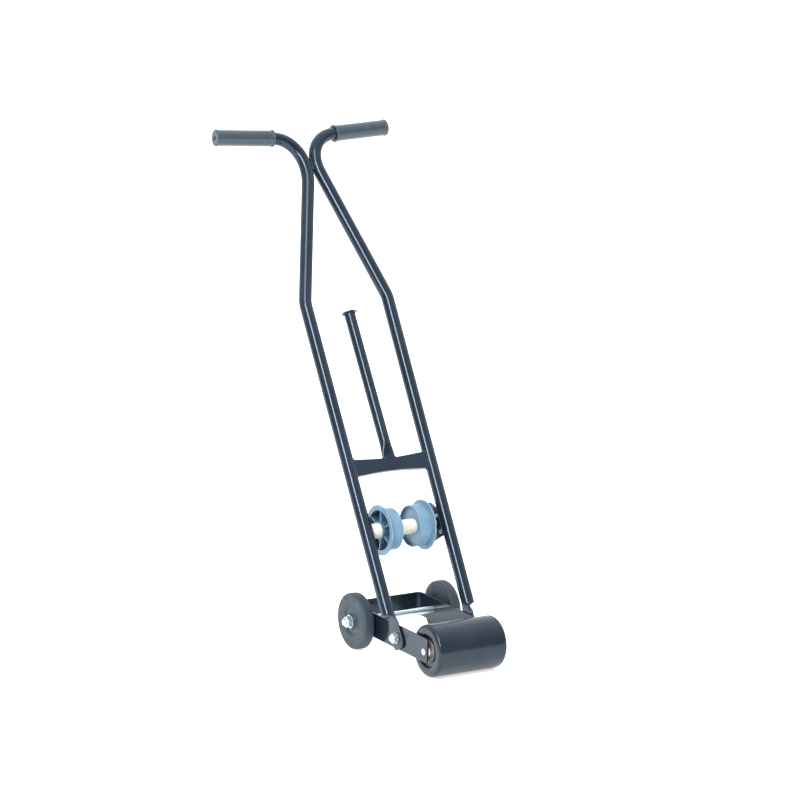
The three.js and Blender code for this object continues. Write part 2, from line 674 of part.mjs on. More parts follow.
/** A ring across the post at a height above its foot. */
function postRing(height, halfWidth, halfDepth) {
  const behind = THREE.MathUtils.lerp(POST_FOOT_N, POST_TOP_N, height / (POST_TOP_W - POST_FOOT_W));
  return Array.from({ length: TUBE_SIDES }, (_, i) => {
    const turn = ((i + 0.5) / TUBE_SIDES) * Math.PI * 2;
    return new THREE.Vector3(
      halfWidth * Math.cos(turn), behind + halfDepth * Math.sin(turn), POST_FOOT_W + height
    );
  });
}

const postHeight = POST_TOP_W - POST_FOOT_W;
const postOuter = loft([
  postRing(0, POST_FOOT_HALF_WIDTH, POST_FOOT_HALF_DEPTH),
  postRing(
    POST_CRIMP / 2, (POST_FOOT_HALF_WIDTH + POST_RADIUS) / 2, (POST_FOOT_HALF_DEPTH + POST_RADIUS) / 2
  ),
  postRing(POST_CRIMP, POST_RADIUS, POST_RADIUS),
  postRing(postHeight, POST_RADIUS, POST_RADIUS),
]);
const postBore = loft([
  postRing(POST_CRIMP, POST_INNER, POST_INNER),
  postRing(postHeight + CUT_BEYOND, POST_INNER, POST_INNER),
]);
place(handle, "spare_roll_post", geometryOf(solid(postOuter).subtract(solid(postBore))), FINISH.paint);

// The cap is a plastic plug with a mushroom head.
const POST_CAP_HEIGHT = 3.2;
const POST_CAP_CROWN_RADIUS = 8.8;
const POST_CAP_EDGE = 0.7;
const plugRadius = POST_INNER - GAP;
const capProfile = [
  [-POST_PLUG_LENGTH, 0],
  [-POST_PLUG_LENGTH, plugRadius - POST_CAP_EDGE],
  [0, plugRadius],
  [0, POST_CAP_RADIUS - POST_CAP_EDGE],
  [POST_CAP_EDGE, POST_CAP_RADIUS],
  [POST_CAP_HEIGHT - POST_CAP_EDGE, POST_CAP_RADIUS - 2 * POST_CAP_EDGE],
  [POST_CAP_HEIGHT, POST_CAP_CROWN_RADIUS],
  [POST_CAP_HEIGHT, 0],
];
const postCap = turnedX(capProfile, GRIP_SIDES)
  .rotateY(-Math.PI / 2)
  .rotateX(-Math.atan2(POST_TOP_N - POST_FOOT_N, postHeight));
place(handle, "post_cap", postCap, FINISH.grip, [0, POST_TOP_N, POST_TOP_W + GAP]);

// ---------------------------------------------------------------- tape spool

const BRACKET_SCREWS_W = [238, 267.5];
const BRACKET_SCREWS_N = 4.4;
const BRACKET_HOLE_RADIUS = SPOOL_ROD_RADIUS + GAP;
const SCREW_RADIUS = 2;
const SCREW_HEAD_RADIUS = 3.8;
const SCREW_CROWN_RADIUS = 2.4;
const SCREW_HEAD_HEIGHT = 2;
const SCREW_RIM = 1;
const SCREW_TIP_X = BRACKET_INNER_X + BRACKET_SHEET + GAP; // stops just short of the tube wall
const ROD_CAP_RADIUS = 6.2;
const ROD_CAP_HEIGHT = 4;
const ROD_CAP_EDGE = 1;

function spoolBracket(side) {
  const { bottom, top } = BRACKET_CORNER_RADIUS;
  const back = BRACKET_BACK_N;
  const outline = new THREE.Shape();
  outline.moveTo(BRACKET_FRONT_N, BRACKET_BOTTOM_W);
  outline.lineTo(back - bottom, BRACKET_BOTTOM_W);
  outline.absarc(back - bottom, BRACKET_BOTTOM_W + bottom, bottom, -Math.PI / 2, 0);
  outline.absarc(back - top, BRACKET_TOP_W - top, top, 0, Math.PI / 2);
  outline.lineTo(BRACKET_SLANT.n, BRACKET_TOP_W);
  outline.lineTo(BRACKET_FRONT_N, BRACKET_SLANT.w);
  const x0 = side > 0 ? BRACKET_INNER_X : -BRACKET_INNER_X - BRACKET_SHEET;
  const sheet = new THREE.ExtrudeGeometry(outline, {
    depth: BRACKET_SHEET,
    bevelEnabled: false,
    curveSegments: 5,
  }).rotateY(Math.PI / 2).rotateX(Math.PI / 2).translate(x0, 0, 0);
  let plate = solid(sheet);
  const drill = (radius, n, w) =>
    solid(barX(x0 - CUT_BEYOND, x0 + CUT_BEYOND, radius, 16).translate(0, n, w));
  plate = plate.subtract(drill(BRACKET_HOLE_RADIUS, SPOOL_N, SPOOL_W));
  for (const w of BRACKET_SCREWS_W) {
    plate = plate.subtract(drill(SCREW_RADIUS + GAP, BRACKET_SCREWS_N, w));
  }
  return geometryOf(plate);
}

function tapeHub(side) {
  const bore = SLEEVE_RADIUS + GAP;
  const rim = HUB_BODY_RADIUS - HUB_WALL;
  const flangeInner = HUB_FLANGE_X - HUB_FLANGE_SHEET;
  const webBack = HUB_WEB_X - HUB_WEB_SHEET;
  const profile = [
    [webBack, bore],
    [HUB_BOSS_X, bore],
    [HUB_BOSS_X, HUB_BOSS_RADIUS - HUB_EDGE],
    [HUB_WEB_X, HUB_BOSS_RADIUS],
    [HUB_WEB_X, rim - HUB_EDGE],
    [HUB_FLANGE_X, rim],
    [HUB_FLANGE_X, HUB_FLANGE_RADIUS - HUB_EDGE],
    [HUB_FLANGE_X - HUB_EDGE, HUB_FLANGE_RADIUS],
    [flangeInner + HUB_EDGE, HUB_FLANGE_RADIUS],
    [flangeInner, HUB_FLANGE_RADIUS - HUB_EDGE],
    [flangeInner, HUB_BODY_RADIUS],
    [HUB_INNER_X, HUB_BODY_RADIUS],
    [HUB_INNER_X, rim],
    [webBack, rim - HUB_EDGE],
  ];
  let body = solid(turnedX(sided(profile, side), ROUND));
  const sunk = 1; // how far each spoke runs into the web, the boss and the rim
  const spokeDepth = HUB_FLANGE_X - HUB_EDGE - HUB_WEB_X;
  const spokeLength = rim - HUB_BOSS_RADIUS + 2 * sunk;
  for (let i = 0; i < HUB_SPOKES; i++) {
    const spoke = new THREE.BoxGeometry(spokeDepth, HUB_SPOKE_WIDTH, spokeLength);
    spoke.translate(side * (HUB_WEB_X - sunk + spokeDepth / 2), 0, HUB_BOSS_RADIUS - sunk + spokeLength / 2);
    spoke.rotateX(HANDLE_LEAN + (i * Math.PI * 2) / HUB_SPOKES);
    body = body.add(solid(spoke));
  }
  return geometryOf(body);
}

const SPOOL_CENTRE = [0, SPOOL_N, SPOOL_W];
const rodHalf = BRACKET_INNER_X + BRACKET_SHEET + GAP;
const sleeveBore = SPOOL_ROD_RADIUS + GAP;
const sleeveTube = bushX(-SLEEVE_HALF_LENGTH, SLEEVE_HALF_LENGTH, sleeveBore, SLEEVE_RADIUS, 24);
const rodLength = rodHalf + ROD_CAP_HEIGHT - ROD_CAP_EDGE;
place(handle, "spool_rod", barX(-rodLength, rodLength, SPOOL_ROD_RADIUS, 16), FINISH.zinc, SPOOL_CENTRE);
place(handle, "spool_sleeve", sleeveTube, FINISH.sleeve, SPOOL_CENTRE);

eachSide((side, word) => {
  place(handle, `spool_bracket_${word}`, spoolBracket(side), FINISH.paint);
  place(handle, `tape_hub_${word}`, tapeHub(side), FINISH.spool, SPOOL_CENTRE);
  const cap = [
    [rodHalf, SPOOL_ROD_RADIUS + GAP],
    [rodHalf, ROD_CAP_RADIUS],
    [rodHalf + ROD_CAP_EDGE, ROD_CAP_RADIUS],
    [rodHalf + ROD_CAP_HEIGHT, ROD_CAP_RADIUS - ROD_CAP_EDGE],
    [rodHalf + ROD_CAP_HEIGHT, SPOOL_ROD_RADIUS + GAP],
  ];
  place(handle, `rod_cap_${word}`, turnedX(sided(cap, side), 16), FINISH.zinc, SPOOL_CENTRE);
});

// ---------------------------------------------------------------- pivot bolts

const BOLT_HEAD_HEIGHT = 6.4;
const BOLT_BEYOND_NUT = 2;
const BOLT_CHAMFER = 1;
const PIVOT_WASHER_RADIUS = 10;
const TAB_OUTER_X = TAB_INNER_X + TAB_THICKNESS;
const PIVOT_WASHER_X = TAB_OUTER_X + GAP;
const PIVOT_NUT_X = PIVOT_WASHER_X + WASHER_THICKNESS + GAP;
const PIVOT_BOLT_END = PIVOT_NUT_X + M10_NUT.height + BOLT_BEYOND_NUT;

function pivotBolt(side) {
  const headX = ARM_INNER_X - GAP;
  const shankX = headX - BOLT_HEAD_HEIGHT / 2;
  const shank = sided([
    [shankX, 0],
    [shankX, PIVOT_BOLT_RADIUS],
    [PIVOT_BOLT_END - BOLT_CHAMFER, PIVOT_BOLT_RADIUS],
    [PIVOT_BOLT_END, PIVOT_BOLT_RADIUS - BOLT_CHAMFER],
    [PIVOT_BOLT_END, 0],
  ], side);
  const head = span(side, headX - BOLT_HEAD_HEIGHT, headX);
  return geometryOf(solid(turnedX(shank)).add(solid(hexX(...head, M10_NUT.flats, 0))));
}

eachSide((side, word) => {
  const centre = [0, PIVOT_Y, PIVOT_Z];
  const bore = PIVOT_BOLT_RADIUS + GAP;
  place(base, `pivot_bolt_${word}`, pivotBolt(side), FINISH.zinc, centre);
  const washer = span(side, PIVOT_WASHER_X, PIVOT_WASHER_X + WASHER_THICKNESS);
  place(base, `pivot_washer_${word}`, bushX(...washer, bore, PIVOT_WASHER_RADIUS), FINISH.zinc, centre);
  const nut = span(side, PIVOT_NUT_X, PIVOT_NUT_X + M10_NUT.height);
  place(base, `pivot_nut_${word}`, hexX(...nut, M10_NUT.flats, bore), FINISH.zinc, centre);
});

// Screws that hold each spool bracket to its handle tube.
eachSide((side, word) => {
  BRACKET_SCREWS_W.forEach((w, i) => {
    const face = BRACKET_INNER_X - GAP;
    const profile = [
      [face - SCREW_HEAD_HEIGHT, 0],
      [face - SCREW_HEAD_HEIGHT, SCREW_CROWN_RADIUS],
      [face - SCREW_RIM, SCREW_HEAD_RADIUS],
      [face, SCREW_HEAD_RADIUS],
      [face, SCREW_RADIUS],
      [SCREW_TIP_X, SCREW_RADIUS],
      [SCREW_TIP_X, 0],
    ];
    const screw = turnedX(sided(profile, side), 10);
    place(handle, `bracket_screw_${word}_${i + 1}`, screw, FINISH.zinc, [0, BRACKET_SCREWS_N, w]);
  });
});

export default assembly;
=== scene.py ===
import json
import math

import bmesh
import bpy
from mathutils import Matrix, Vector, noise


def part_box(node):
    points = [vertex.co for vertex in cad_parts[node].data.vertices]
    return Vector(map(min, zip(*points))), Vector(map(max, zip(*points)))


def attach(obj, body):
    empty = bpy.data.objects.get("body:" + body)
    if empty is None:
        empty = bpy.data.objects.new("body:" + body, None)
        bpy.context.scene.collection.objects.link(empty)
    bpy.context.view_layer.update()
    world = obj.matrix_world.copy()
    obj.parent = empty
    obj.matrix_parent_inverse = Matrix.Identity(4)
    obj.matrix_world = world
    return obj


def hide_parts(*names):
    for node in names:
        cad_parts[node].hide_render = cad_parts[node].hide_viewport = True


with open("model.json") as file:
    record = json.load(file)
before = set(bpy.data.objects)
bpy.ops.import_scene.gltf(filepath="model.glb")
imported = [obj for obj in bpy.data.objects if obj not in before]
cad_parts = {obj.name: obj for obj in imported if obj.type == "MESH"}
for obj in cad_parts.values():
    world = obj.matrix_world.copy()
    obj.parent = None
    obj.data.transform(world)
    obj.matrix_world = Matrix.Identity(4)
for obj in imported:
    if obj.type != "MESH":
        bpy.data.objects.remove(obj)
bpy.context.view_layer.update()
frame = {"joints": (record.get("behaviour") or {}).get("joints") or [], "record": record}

# Lengths below are millimetres and become metres when a mesh is made.
MM = 0.001


# ---------------------------------------------------------------- places read from the frame

def joint_point(name):
    """Where a joint is, in millimetres."""
    joint = next(j for j in frame["joints"] if j["name"] == name)
    return Vector(joint["pos_m"]) / MM


def node_box(name):
    low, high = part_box(name)
    return low / MM, high / MM


PIVOT = joint_point("handle_pivot")
AXLE = joint_point("wheel_spin_left")
ROLLER = joint_point("roller_spin")
SPOOL = joint_point("spool_spin")

crossbar_face = next(
    m for m in frame["record"]["mounts"] if m["name"] == "crossbar_front_face"
)
LEAN = math.atan2(crossbar_face["axis"][2], -crossbar_face["axis"][1])
HANDLE_FOOT = PIVOT.y - PIVOT.z * math.tan(LEAN)
# Handle pieces are drawn in the handle's own axes: X across, Y behind its plane, Z up the tubes.
HANDLE = Matrix.Translation((0, HANDLE_FOOT, 0)) @ Matrix.Rotation(-LEAN, 4, "X")
PIVOT_W = (HANDLE.inverted() @ PIVOT).z

# ---------------------------------------------------------------- sizes of the pieces

SIDES = ((-1, "left"), (1, "right"))

TUBE_RADIUS = 11.8
TUBE_FOOT_U = 82.9
KNEE = Vector((86, 689.5))
KNEE_BEND = 60
# Each shoulder bend, by side: the corner where the neck's and the grip's middle lines cross, how
# far from it the bend starts and ends, and how steeply the grip rises.
SHOULDER = {
    -1: (Vector((-10.4, 1004.5)), 94, 74.7, math.radians(5)),
    1: (Vector((-5, 1008.7)), 73, 69.1, math.radians(3.9)),
}
NECK_WELD_W = 955
GRIP_SWEEP = math.radians(2.3)
GRIP_LENGTH = 116
GRIP_RADIUS = 14.8
GRIP_FLANGE_RADIUS = 16.2
TAB_THICKNESS = 4.2
TAB_HALF_WIDTH = 17.2
TAB_BOTTOM_W = 36.5
TAB_CORNER = 10
TAB_TOP_W = 86
TAB_FOLD_W = 92
TAB_FOLD_HALF_WIDTH = 12.9
TUBE_START_W = 100
TUBE_SIDES = 56

ARM_OUTER = node_box("base_frame")[1].x
ARM_THICKNESS = 3
ARM_INNER = ARM_OUTER - ARM_THICKNESS
TAB_INNER = ARM_OUTER + 0.3

CROSSBAR_BOTTOM_W = 355.8
CROSSBAR_TOP_W = 387.2
CROSSBAR_WAIST_BOTTOM_W = 359.2
CROSSBAR_WAIST_TOP_W = 383.7
CROSSBAR_FRONT = -6.6
CROSSBAR_BACK = 5.8
CROSSBAR_SHEET = 2.5

POST_RADIUS = 10.3
POST_TOP_W = 662.5
POST_FOOT_HALF_WIDTH = 13.3
POST_FOOT_HALF_DEPTH = 4
POST_FOOT_N = -2.4
POST_TOP_N = 2.5
POST_CRIMP = 30
POST_CAP_RADIUS = 14.8

WHEEL_RADIUS = node_box("wheel_tyre_left")[1].z - AXLE.z
WHEEL_OUTER = node_box("wheel_tyre_right")[1].x
WHEEL_INNER = node_box("wheel_tyre_right")[0].x
WHEEL_HUB_RADIUS = 25.7
WHEEL_BOSS_RADIUS = 13
AXLE_RADIUS = 6.35
AXLE_SPACER_RADIUS = 10
AXLE_THREAD_LENGTH = 14
AXLE_NUT_FLATS = 19.05
PIVOT_NUT_FLATS = 17
PIVOT_BOLT_RADIUS = 5

ROLLER_RADIUS = ROLLER.z
ROLLER_HALF = node_box("roller_rubber")[1].x
ROLLER_CORE_RADIUS = 20

SLEEVE_RADIUS = 13.5
HUB_FLANGE_RADIUS = 45.5
HUB_BODY_RADIUS = 38.1
HUB_FLANGE = 46.5
HUB_INNER = 18
HUB_BOSS = 47.8
HUB_BOSS_RADIUS = 17.4
HUB_WEB = 27
HUB_WEB_SHEET = 2.5


# ---------------------------------------------------------------- mesh helpers

def shade(mesh, sharp_degrees=38):
    mesh.shade_smooth()
    mesh.set_sharp_from_angle(angle=math.radians(sharp_degrees))


def piece(name, points, faces, matrix=None):
    """A mesh object from points in millimetres, its faces turned outwards."""
    mesh = bpy.data.meshes.new(name)
    mesh.from_pydata([tuple(p * MM) for p in points], [], faces)
    bm = bmesh.new()
    bm.from_mesh(mesh)
    if matrix is not None:
        metres = matrix.copy()
        metres.translation = metres.translation * MM
        bm.transform(metres)
    bmesh.ops.recalc_face_normals(bm, faces=bm.faces)
    bm.to_mesh(mesh)
    bm.free()
    shade(mesh)
    obj = bpy.data.objects.new(name, mesh)
    bpy.context.scene.collection.objects.link(obj)
    return obj


def even_normals(obj):
    """Keeps flat faces flat beside their small rounded edges."""
    modifier = obj.modifiers.new("normals", "WEIGHTED_NORMAL")
    modifier.keep_sharp = True
    return obj


def apply_modifiers(obj):
    graph = bpy.context.evaluated_depsgraph_get()
    mesh = bpy.data.meshes.new_from_object(obj.evaluated_get(graph))
    old = obj.data
    obj.modifiers.clear()
    obj.data = mesh
    bpy.data.meshes.remove(old)
    shade(obj.data)
    return obj


def carve(obj, tool, operation="DIFFERENCE"):
    """Cuts obj by tool, or joins them, and removes the tool."""
    modifier = obj.modifiers.new("carve", "BOOLEAN")
    modifier.object = tool
    modifier.operation = operation
    modifier.solver = "EXACT"
    apply_modifiers(obj)
    bpy.data.objects.remove(tool)
    return obj


def bevel(obj, width, segments=3, angle=30):
    """Rounds the sharp edges by a width in millimetres."""
    modifier = obj.modifiers.new("bevel", "BEVEL")
    modifier.width = width * MM
    modifier.segments = segments
    modifier.limit_method = "ANGLE"
    modifier.angle_limit = math.radians(angle)
    modifier.harden_normals = False
    return apply_modifiers(obj)


def skin(name, rings, matrix=None, caps=True, loop=False):
    """A solid through rings of points; caps close its ends, loop joins the last ring to the first."""
    sides = len(rings[0])
    points = [p for ring in rings for p in ring]
    faces = []
    for r in range(len(rings) if loop else len(rings) - 1):
        nxt = (r + 1) % len(rings)
        for s in range(sides):
            t = (s + 1) % sides
            faces.append((r * sides + s, r * sides + t, nxt * sides + t, nxt * sides + s))
    if caps and not loop:
        last = (len(rings) - 1) * sides
        faces.append(tuple(range(sides)))
        faces.append(tuple(range(last, last + sides)))
    return piece(name, points, faces, matrix)


def rounded(corners, steps=5):
    """A closed outline from (a, b) or (a, b, radius) corners, each radius drawn as an arc."""
    outline = []
    for i, corner in enumerate(corners):
        here = Vector(corner[:2])
        radius = corner[2] if len(corner) > 2 else 0
        before = Vector(corners[i - 1][:2]) - here
        after = Vector(corners[(i + 1) % len(corners)][:2]) - here
        if radius <= 0 or before.length < 1e-6 or after.length < 1e-6:
            outline.append(here)
            continue
        before.normalize()
        after.normalize()
        half = before.angle(after) / 2
        if half > math.radians(89):
            outline.append(here)
            continue
        back = radius / math.tan(half)
        centre = here + (before + after).normalized() * (radius / math.sin(half))
        start = here + before * back - centre
        end = here + after * back - centre
        sweep = start.angle_signed(end)
        for k in range(steps + 1):
            turn = Matrix.Rotation(-sweep * k / steps, 2)
            outline.append(centre + turn @ start)
    return outline


def turned(name, corners, centre, segments=96, side=1, steps=5):
    """A turned piece about the X axis through centre, from (x, radius[, fillet]) corners."""
    outline = rounded(corners, steps)
    rings = []
    for k in range(segments):
        turn = 2 * math.pi * k / segments
        rings.append([
            Vector((centre[0] + side * p.x, centre[1] + p.y * math.cos(turn),
                    centre[2] + p.y * math.sin(turn)))
            for p in outline
        ])
    obj = skin(name, rings, loop=True)
    bm = bmesh.new()
    bm.from_mesh(obj.data)
    bmesh.ops.remove_doubles(bm, verts=bm.verts, dist=1e-7)
    bmesh.ops.dissolve_degenerate(bm, edges=bm.edges, dist=1e-7)
    bmesh.ops.recalc_face_normals(bm, faces=bm.faces)
    bm.to_mesh(obj.data)
    bm.free()
    shade(obj.data)
    return even_normals(obj)


def tilt_onto_handle(obj, matrix=HANDLE):
    """Moves a piece drawn about the X axis in the handle's axes to its place."""
    metres = matrix.copy()
    metres.translation = metres.translation * MM
    obj.data.transform(metres)
    return obj


def block(name, size):
    """A box about the origin, its size in millimetres."""
    mesh = bpy.data.meshes.new(name)
    bm = bmesh.new()
    bmesh.ops.create_cube(bm, size=1)
    bmesh.ops.scale(bm, vec=Vector(size) * MM, verts=bm.verts)
    bm.to_mesh(mesh)
    bm.free()
    obj = bpy.data.objects.new(name, mesh)
    bpy.context.scene.collection.objects.link(obj)
    return obj


def bar(name, x0, x1, radius, centre, segments=48):
    return turned(name, [(x0, 0), (x0, radius), (x1, radius), (x1, 0)], centre, segments)


# ---------------------------------------------------------------- material helpers

class Finish:
    """A Principled material, and short ways to add procedural detail to it."""

    def __init__(self, name, **values):
        self.material = bpy.data.materials.new(name)
        self.material.use_nodes = True
        self.tree = self.material.node_tree
        self.shader = self.tree.nodes["Principled BSDF"]
        self.place = self.tree.nodes.new("ShaderNodeTexCoord").outputs["Object"]
        for socket, value in values.items():
            self.shader.inputs[socket.replace("_", " ")].default_value = value
        self.normal = None

    def node(self, kind, **settings):
        made = self.tree.nodes.new(kind)
        for key, value in settings.items():
            setattr(made, key, value)
        return made

    def link(self, source, target):
        self.tree.links.new(source, target)

    def noise(self, scale, detail=4.0, roughness=0.55, stretch=(1, 1, 1)):
        """A noise value from 0 to 1; scale is in features per metre."""
        mapping = self.node("ShaderNodeMapping")
        mapping.inputs["Scale"].default_value = stretch
        self.link(self.place, mapping.inputs["Vector"])
        made = self.node("ShaderNodeTexNoise")
        made.inputs["Scale"].default_value = scale
        made.inputs["Detail"].default_value = detail
        made.inputs["Roughness"].default_value = roughness
        self.link(mapping.outputs["Vector"], made.inputs["Vector"])
        return made.outputs["Fac"]

    def remap(self, value, low, high, to_low=0.0, to_high=1.0):
        made = self.node("ShaderNodeMapRange")
        made.clamp = True
        made.inputs["From Min"].default_value = low
        made.inputs["From Max"].default_value = high
        made.inputs["To Min"].default_value = to_low
        made.inputs["To Max"].default_value = to_high
        self.link(value, made.inputs["Value"])
        return made.outputs["Result"]

    def multiply(self, a, b):
        made = self.node("ShaderNodeMath", operation="MULTIPLY")
        self.link(a, made.inputs[0])
        if isinstance(b, (int, float)):
            made.inputs[1].default_value = b
        else:
            self.link(b, made.inputs[1])
        return made.outputs["Value"]

    def add(self, a, b):
        made = self.node("ShaderNodeMath", operation="ADD")
        self.link(a, made.inputs[0])
        if isinstance(b, (int, float)):
            made.inputs[1].default_value = b
        else:
            self.link(b, made.inputs[1])
        return made.outputs["Value"]

    def mix(self, factor, a, b):
        """A colour between a and b, each a colour or an output."""
        made = self.node("ShaderNodeMix", data_type="RGBA")
        self.link(factor, made.inputs["Factor"])
        for socket, value in ((made.inputs[6], a), (made.inputs[7], b)):
            if isinstance(value, tuple):
                socket.default_value = (*value, 1)
            else:
                self.link(value, socket)
        return made.outputs[2]

    def edges(self, low=0.515, high=0.56):
        """1 on worn convex edges, 0 elsewhere."""
        geometry = self.node("ShaderNodeNewGeometry")
        return self.remap(geometry.outputs["Pointiness"], low, high)

    def painted_shade_mask(self, distance):
        """1 in creases and corners, 0 in the open: the mask for painted shade."""
        made = self.node("ShaderNodeAmbientOcclusion")
        made.samples = 6
        made.inputs["Distance"].default_value = distance
        return self.remap(made.outputs["AO"], 0.25, 0.85, 1.0, 0.0)

    def colour(self, output):
        self.link(output, self.shader.inputs["Base Color"])

    def roughness(self, output):
        self.link(output, self.shader.inputs["Roughness"])

    def bump(self, height, distance, strength=1.0):
        """Raises the surface by a height of up to distance millimetres."""
        made = self.node("ShaderNodeBump")
        made.inputs["Distance"].default_value = distance * MM
        made.inputs["Strength"].default_value = strength
        self.link(height, made.inputs["Height"])
        if self.normal is not None:
            self.link(self.normal, made.inputs["Normal"])
        self.normal = made.outputs["Normal"]
        self.link(self.normal, self.shader.inputs["Normal"])


# ---------------------------------------------------------------- materials

def black_paint():
    """Gloss black powder coat: orange peel, faint cloudiness, pale specks and dull scuffs."""
    f = Finish("black_paint", IOR=1.46, Specular_Tint=(0.72, 0.87, 1.0, 1.0))
    cloud = f.remap(f.noise(9), 0.35, 0.65)
    base = f.mix(cloud, (0.0055, 0.0105, 0.019), (0.009, 0.0155, 0.026))
    specks = f.remap(f.noise(900, 2), 0.66, 0.74)
    base = f.mix(f.multiply(specks, 0.3), base, (0.04, 0.048, 0.06))
    f.colour(base)
    scuffs = f.remap(f.noise(60, 6, 0.7, (1, 1, 0.12)), 0.5, 0.75)
    f.roughness(f.add(f.remap(f.noise(35), 0.3, 0.7, 0.12, 0.18), f.multiply(scuffs, 0.10)))
    f.bump(f.noise(420, 2, 0.4), 0.035)
    return f.material


def wheel_rubber():
    """Solid grey rubber with mould mottling, fine grain and pale pits."""
    f = Finish("wheel_rubber", IOR=1.45, Specular_Tint=(0.80, 0.90, 1.0, 1.0))
    mottle = f.remap(f.noise(45, 6), 0.35, 0.68)
    base = f.mix(mottle, (0.017, 0.026, 0.036), (0.028, 0.040, 0.052))
    pits = f.remap(f.noise(1100, 2), 0.62, 0.72)
    base = f.mix(f.multiply(pits, 0.4), base, (0.035, 0.043, 0.049))
    f.colour(base)
    f.roughness(f.remap(f.noise(80), 0.3, 0.7, 0.48, 0.64))
    f.bump(f.noise(260, 5), 0.10)
    f.bump(f.noise(1300, 2), 0.03)
    return f.material


def wheel_centre():
    """The wheel's moulded centre, a little smoother than its tread, with painted shade in its recess."""
    f = Finish("wheel_centre", IOR=1.45, Specular_Tint=(0.80, 0.90, 1.0, 1.0))
    mottle = f.remap(f.noise(60, 5), 0.35, 0.68)
    base = f.mix(mottle, (0.019, 0.028, 0.038), (0.029, 0.041, 0.052))
    # Painted shade: the recess and creases of the wheel centre are darkened.
    base = f.mix(f.multiply(f.painted_shade_mask(0.006), 0.55), base, (0.022, 0.028, 0.032))
    f.colour(base)
    f.roughness(f.remap(f.noise(90), 0.3, 0.7, 0.42, 0.58))
    f.bump(f.noise(300, 4), 0.07)
    return f.material


def roller_rubber():
    """Smooth rubber: soft bands along the roller, cloudy bloom and small nicks."""
    f = Finish("roller_rubber", IOR=1.4, Specular_Tint=(0.75, 0.88, 1.0, 1.0))
    bloom = f.remap(f.noise(22, 6), 0.35, 0.7)
    base = f.mix(bloom, (0.008, 0.013, 0.021), (0.013, 0.019, 0.028))
    nicks = f.remap(f.noise(340, 3), 0.66, 0.74)
    base = f.mix(f.multiply(nicks, 0.35), base, (0.05, 0.058, 0.066))
    f.colour(base)
    bands = f.noise(1, 3, 0.5, (4, 110, 110))
    f.roughness(f.add(f.remap(f.noise(40), 0.3, 0.7, 0.16, 0.22), f.remap(bands, 0.35, 0.65, 0.0, 0.10)))
    f.bump(bands, 0.04)
    f.bump(f.noise(120, 4), 0.04)
    return f.material


def grip_vinyl():
    """Soft slate-grey vinyl with a fine leathery skin."""
    f = Finish("grip_vinyl", IOR=1.5, Specular_Tint=(0.82, 0.92, 1.0, 1.0))
    mottle = f.remap(f.noise(70, 5), 0.35, 0.65)
    base = f.mix(mottle, (0.027, 0.038, 0.049), (0.033, 0.045, 0.057))
    f.colour(base)
    f.roughness(f.remap(f.noise(110), 0.3, 0.7, 0.25, 0.33))
    cells = f.node("ShaderNodeTexVoronoi", feature="DISTANCE_TO_EDGE")
    cells.inputs["Scale"].default_value = 900
    f.link(f.place, cells.inputs["Vector"])
    f.bump(f.remap(cells.outputs["Distance"], 0.0, 0.25), 0.02)
    f.bump(f.noise(200, 4), 0.015)
    return f.material


def zinc_plate():
    """Bright zinc plating: cloudy bluish-white metal with drawing lines and dull spots, and painted shade
    in its creases.
    """
    f = Finish("zinc_plate", Metallic=1.0)
    cloud = f.remap(f.noise(160, 4), 0.35, 0.65)
    base = f.mix(cloud, (0.50, 0.58, 0.62), (0.63, 0.70, 0.73))
    warm = f.remap(f.noise(90, 3), 0.55, 0.72)
    base = f.mix(f.multiply(warm, 0.2), base, (0.56, 0.56, 0.50))
    # Painted shade: creases and corners of the zinc parts are darkened.
    base = f.mix(f.multiply(f.painted_shade_mask(0.003), 0.6), base, (0.16, 0.17, 0.17))
    f.colour(base)
    lines = f.noise(1, 3, 0.5, (60, 2200, 2200))
    f.roughness(f.add(f.remap(f.noise(300), 0.3, 0.7, 0.32, 0.42), f.remap(lines, 0.3, 0.7, 0.0, 0.06)))
    f.bump(lines, 0.008)
    return f.material


def core_steel():
    """Bare steel with brown oxide."""
    f = Finish("core_steel", Metallic=0.85)
    rust = f.remap(f.noise(120, 6), 0.38, 0.66)
    base = f.mix(rust, (0.30, 0.28, 0.27), (0.15, 0.10, 0.075))
    f.colour(base)
    f.roughness(f.remap(f.noise(150, 5), 0.3, 0.7, 0.38, 0.7))
    f.bump(f.noise(500, 4), 0.05)
    return f.material


def nylon():
    """Milky natural nylon."""
    f = Finish("nylon", IOR=1.53, Subsurface_Weight=0.15)
    f.shader.inputs["Subsurface Radius"].default_value = (0.002, 0.002, 0.0018)
    tint = f.remap(f.noise(80), 0.35, 0.65)
    f.colour(f.mix(tint, (0.62, 0.61, 0.57), (0.72, 0.71, 0.67)))
    f.roughness(f.remap(f.noise(200), 0.3, 0.7, 0.38, 0.5))
    f.bump(f.noise(500, 3), 0.02)
    return f.material


def spool_blue():
    """Satin moulded plastic in steel blue, with flow clouds, painted shade in its pockets, paler rubbed
    edges and fine grain.
    """
    f = Finish("spool_blue", IOR=1.49, Subsurface_Weight=0.06)
    f.shader.inputs["Subsurface Radius"].default_value = (0.001, 0.0015, 0.002)
    flow = f.remap(f.noise(28, 5, 0.6, (1, 1, 1)), 0.35, 0.66)
    base = f.mix(flow, (0.098, 0.182, 0.265), (0.128, 0.228, 0.320))
    # Painted shade: the pockets between the spokes and the inner cup are darkened.
    base = f.mix(f.multiply(f.painted_shade_mask(0.03), 0.85), base, (0.018, 0.050, 0.090))
    base = f.mix(f.multiply(f.edges(), 0.4), base, (0.33, 0.47, 0.58))
    f.colour(base)
    f.roughness(f.remap(f.noise(90, 5), 0.3, 0.7, 0.34, 0.5))
    f.bump(f.noise(650, 3), 0.025)
    f.bump(f.noise(60, 3), 0.06)
    return f.material


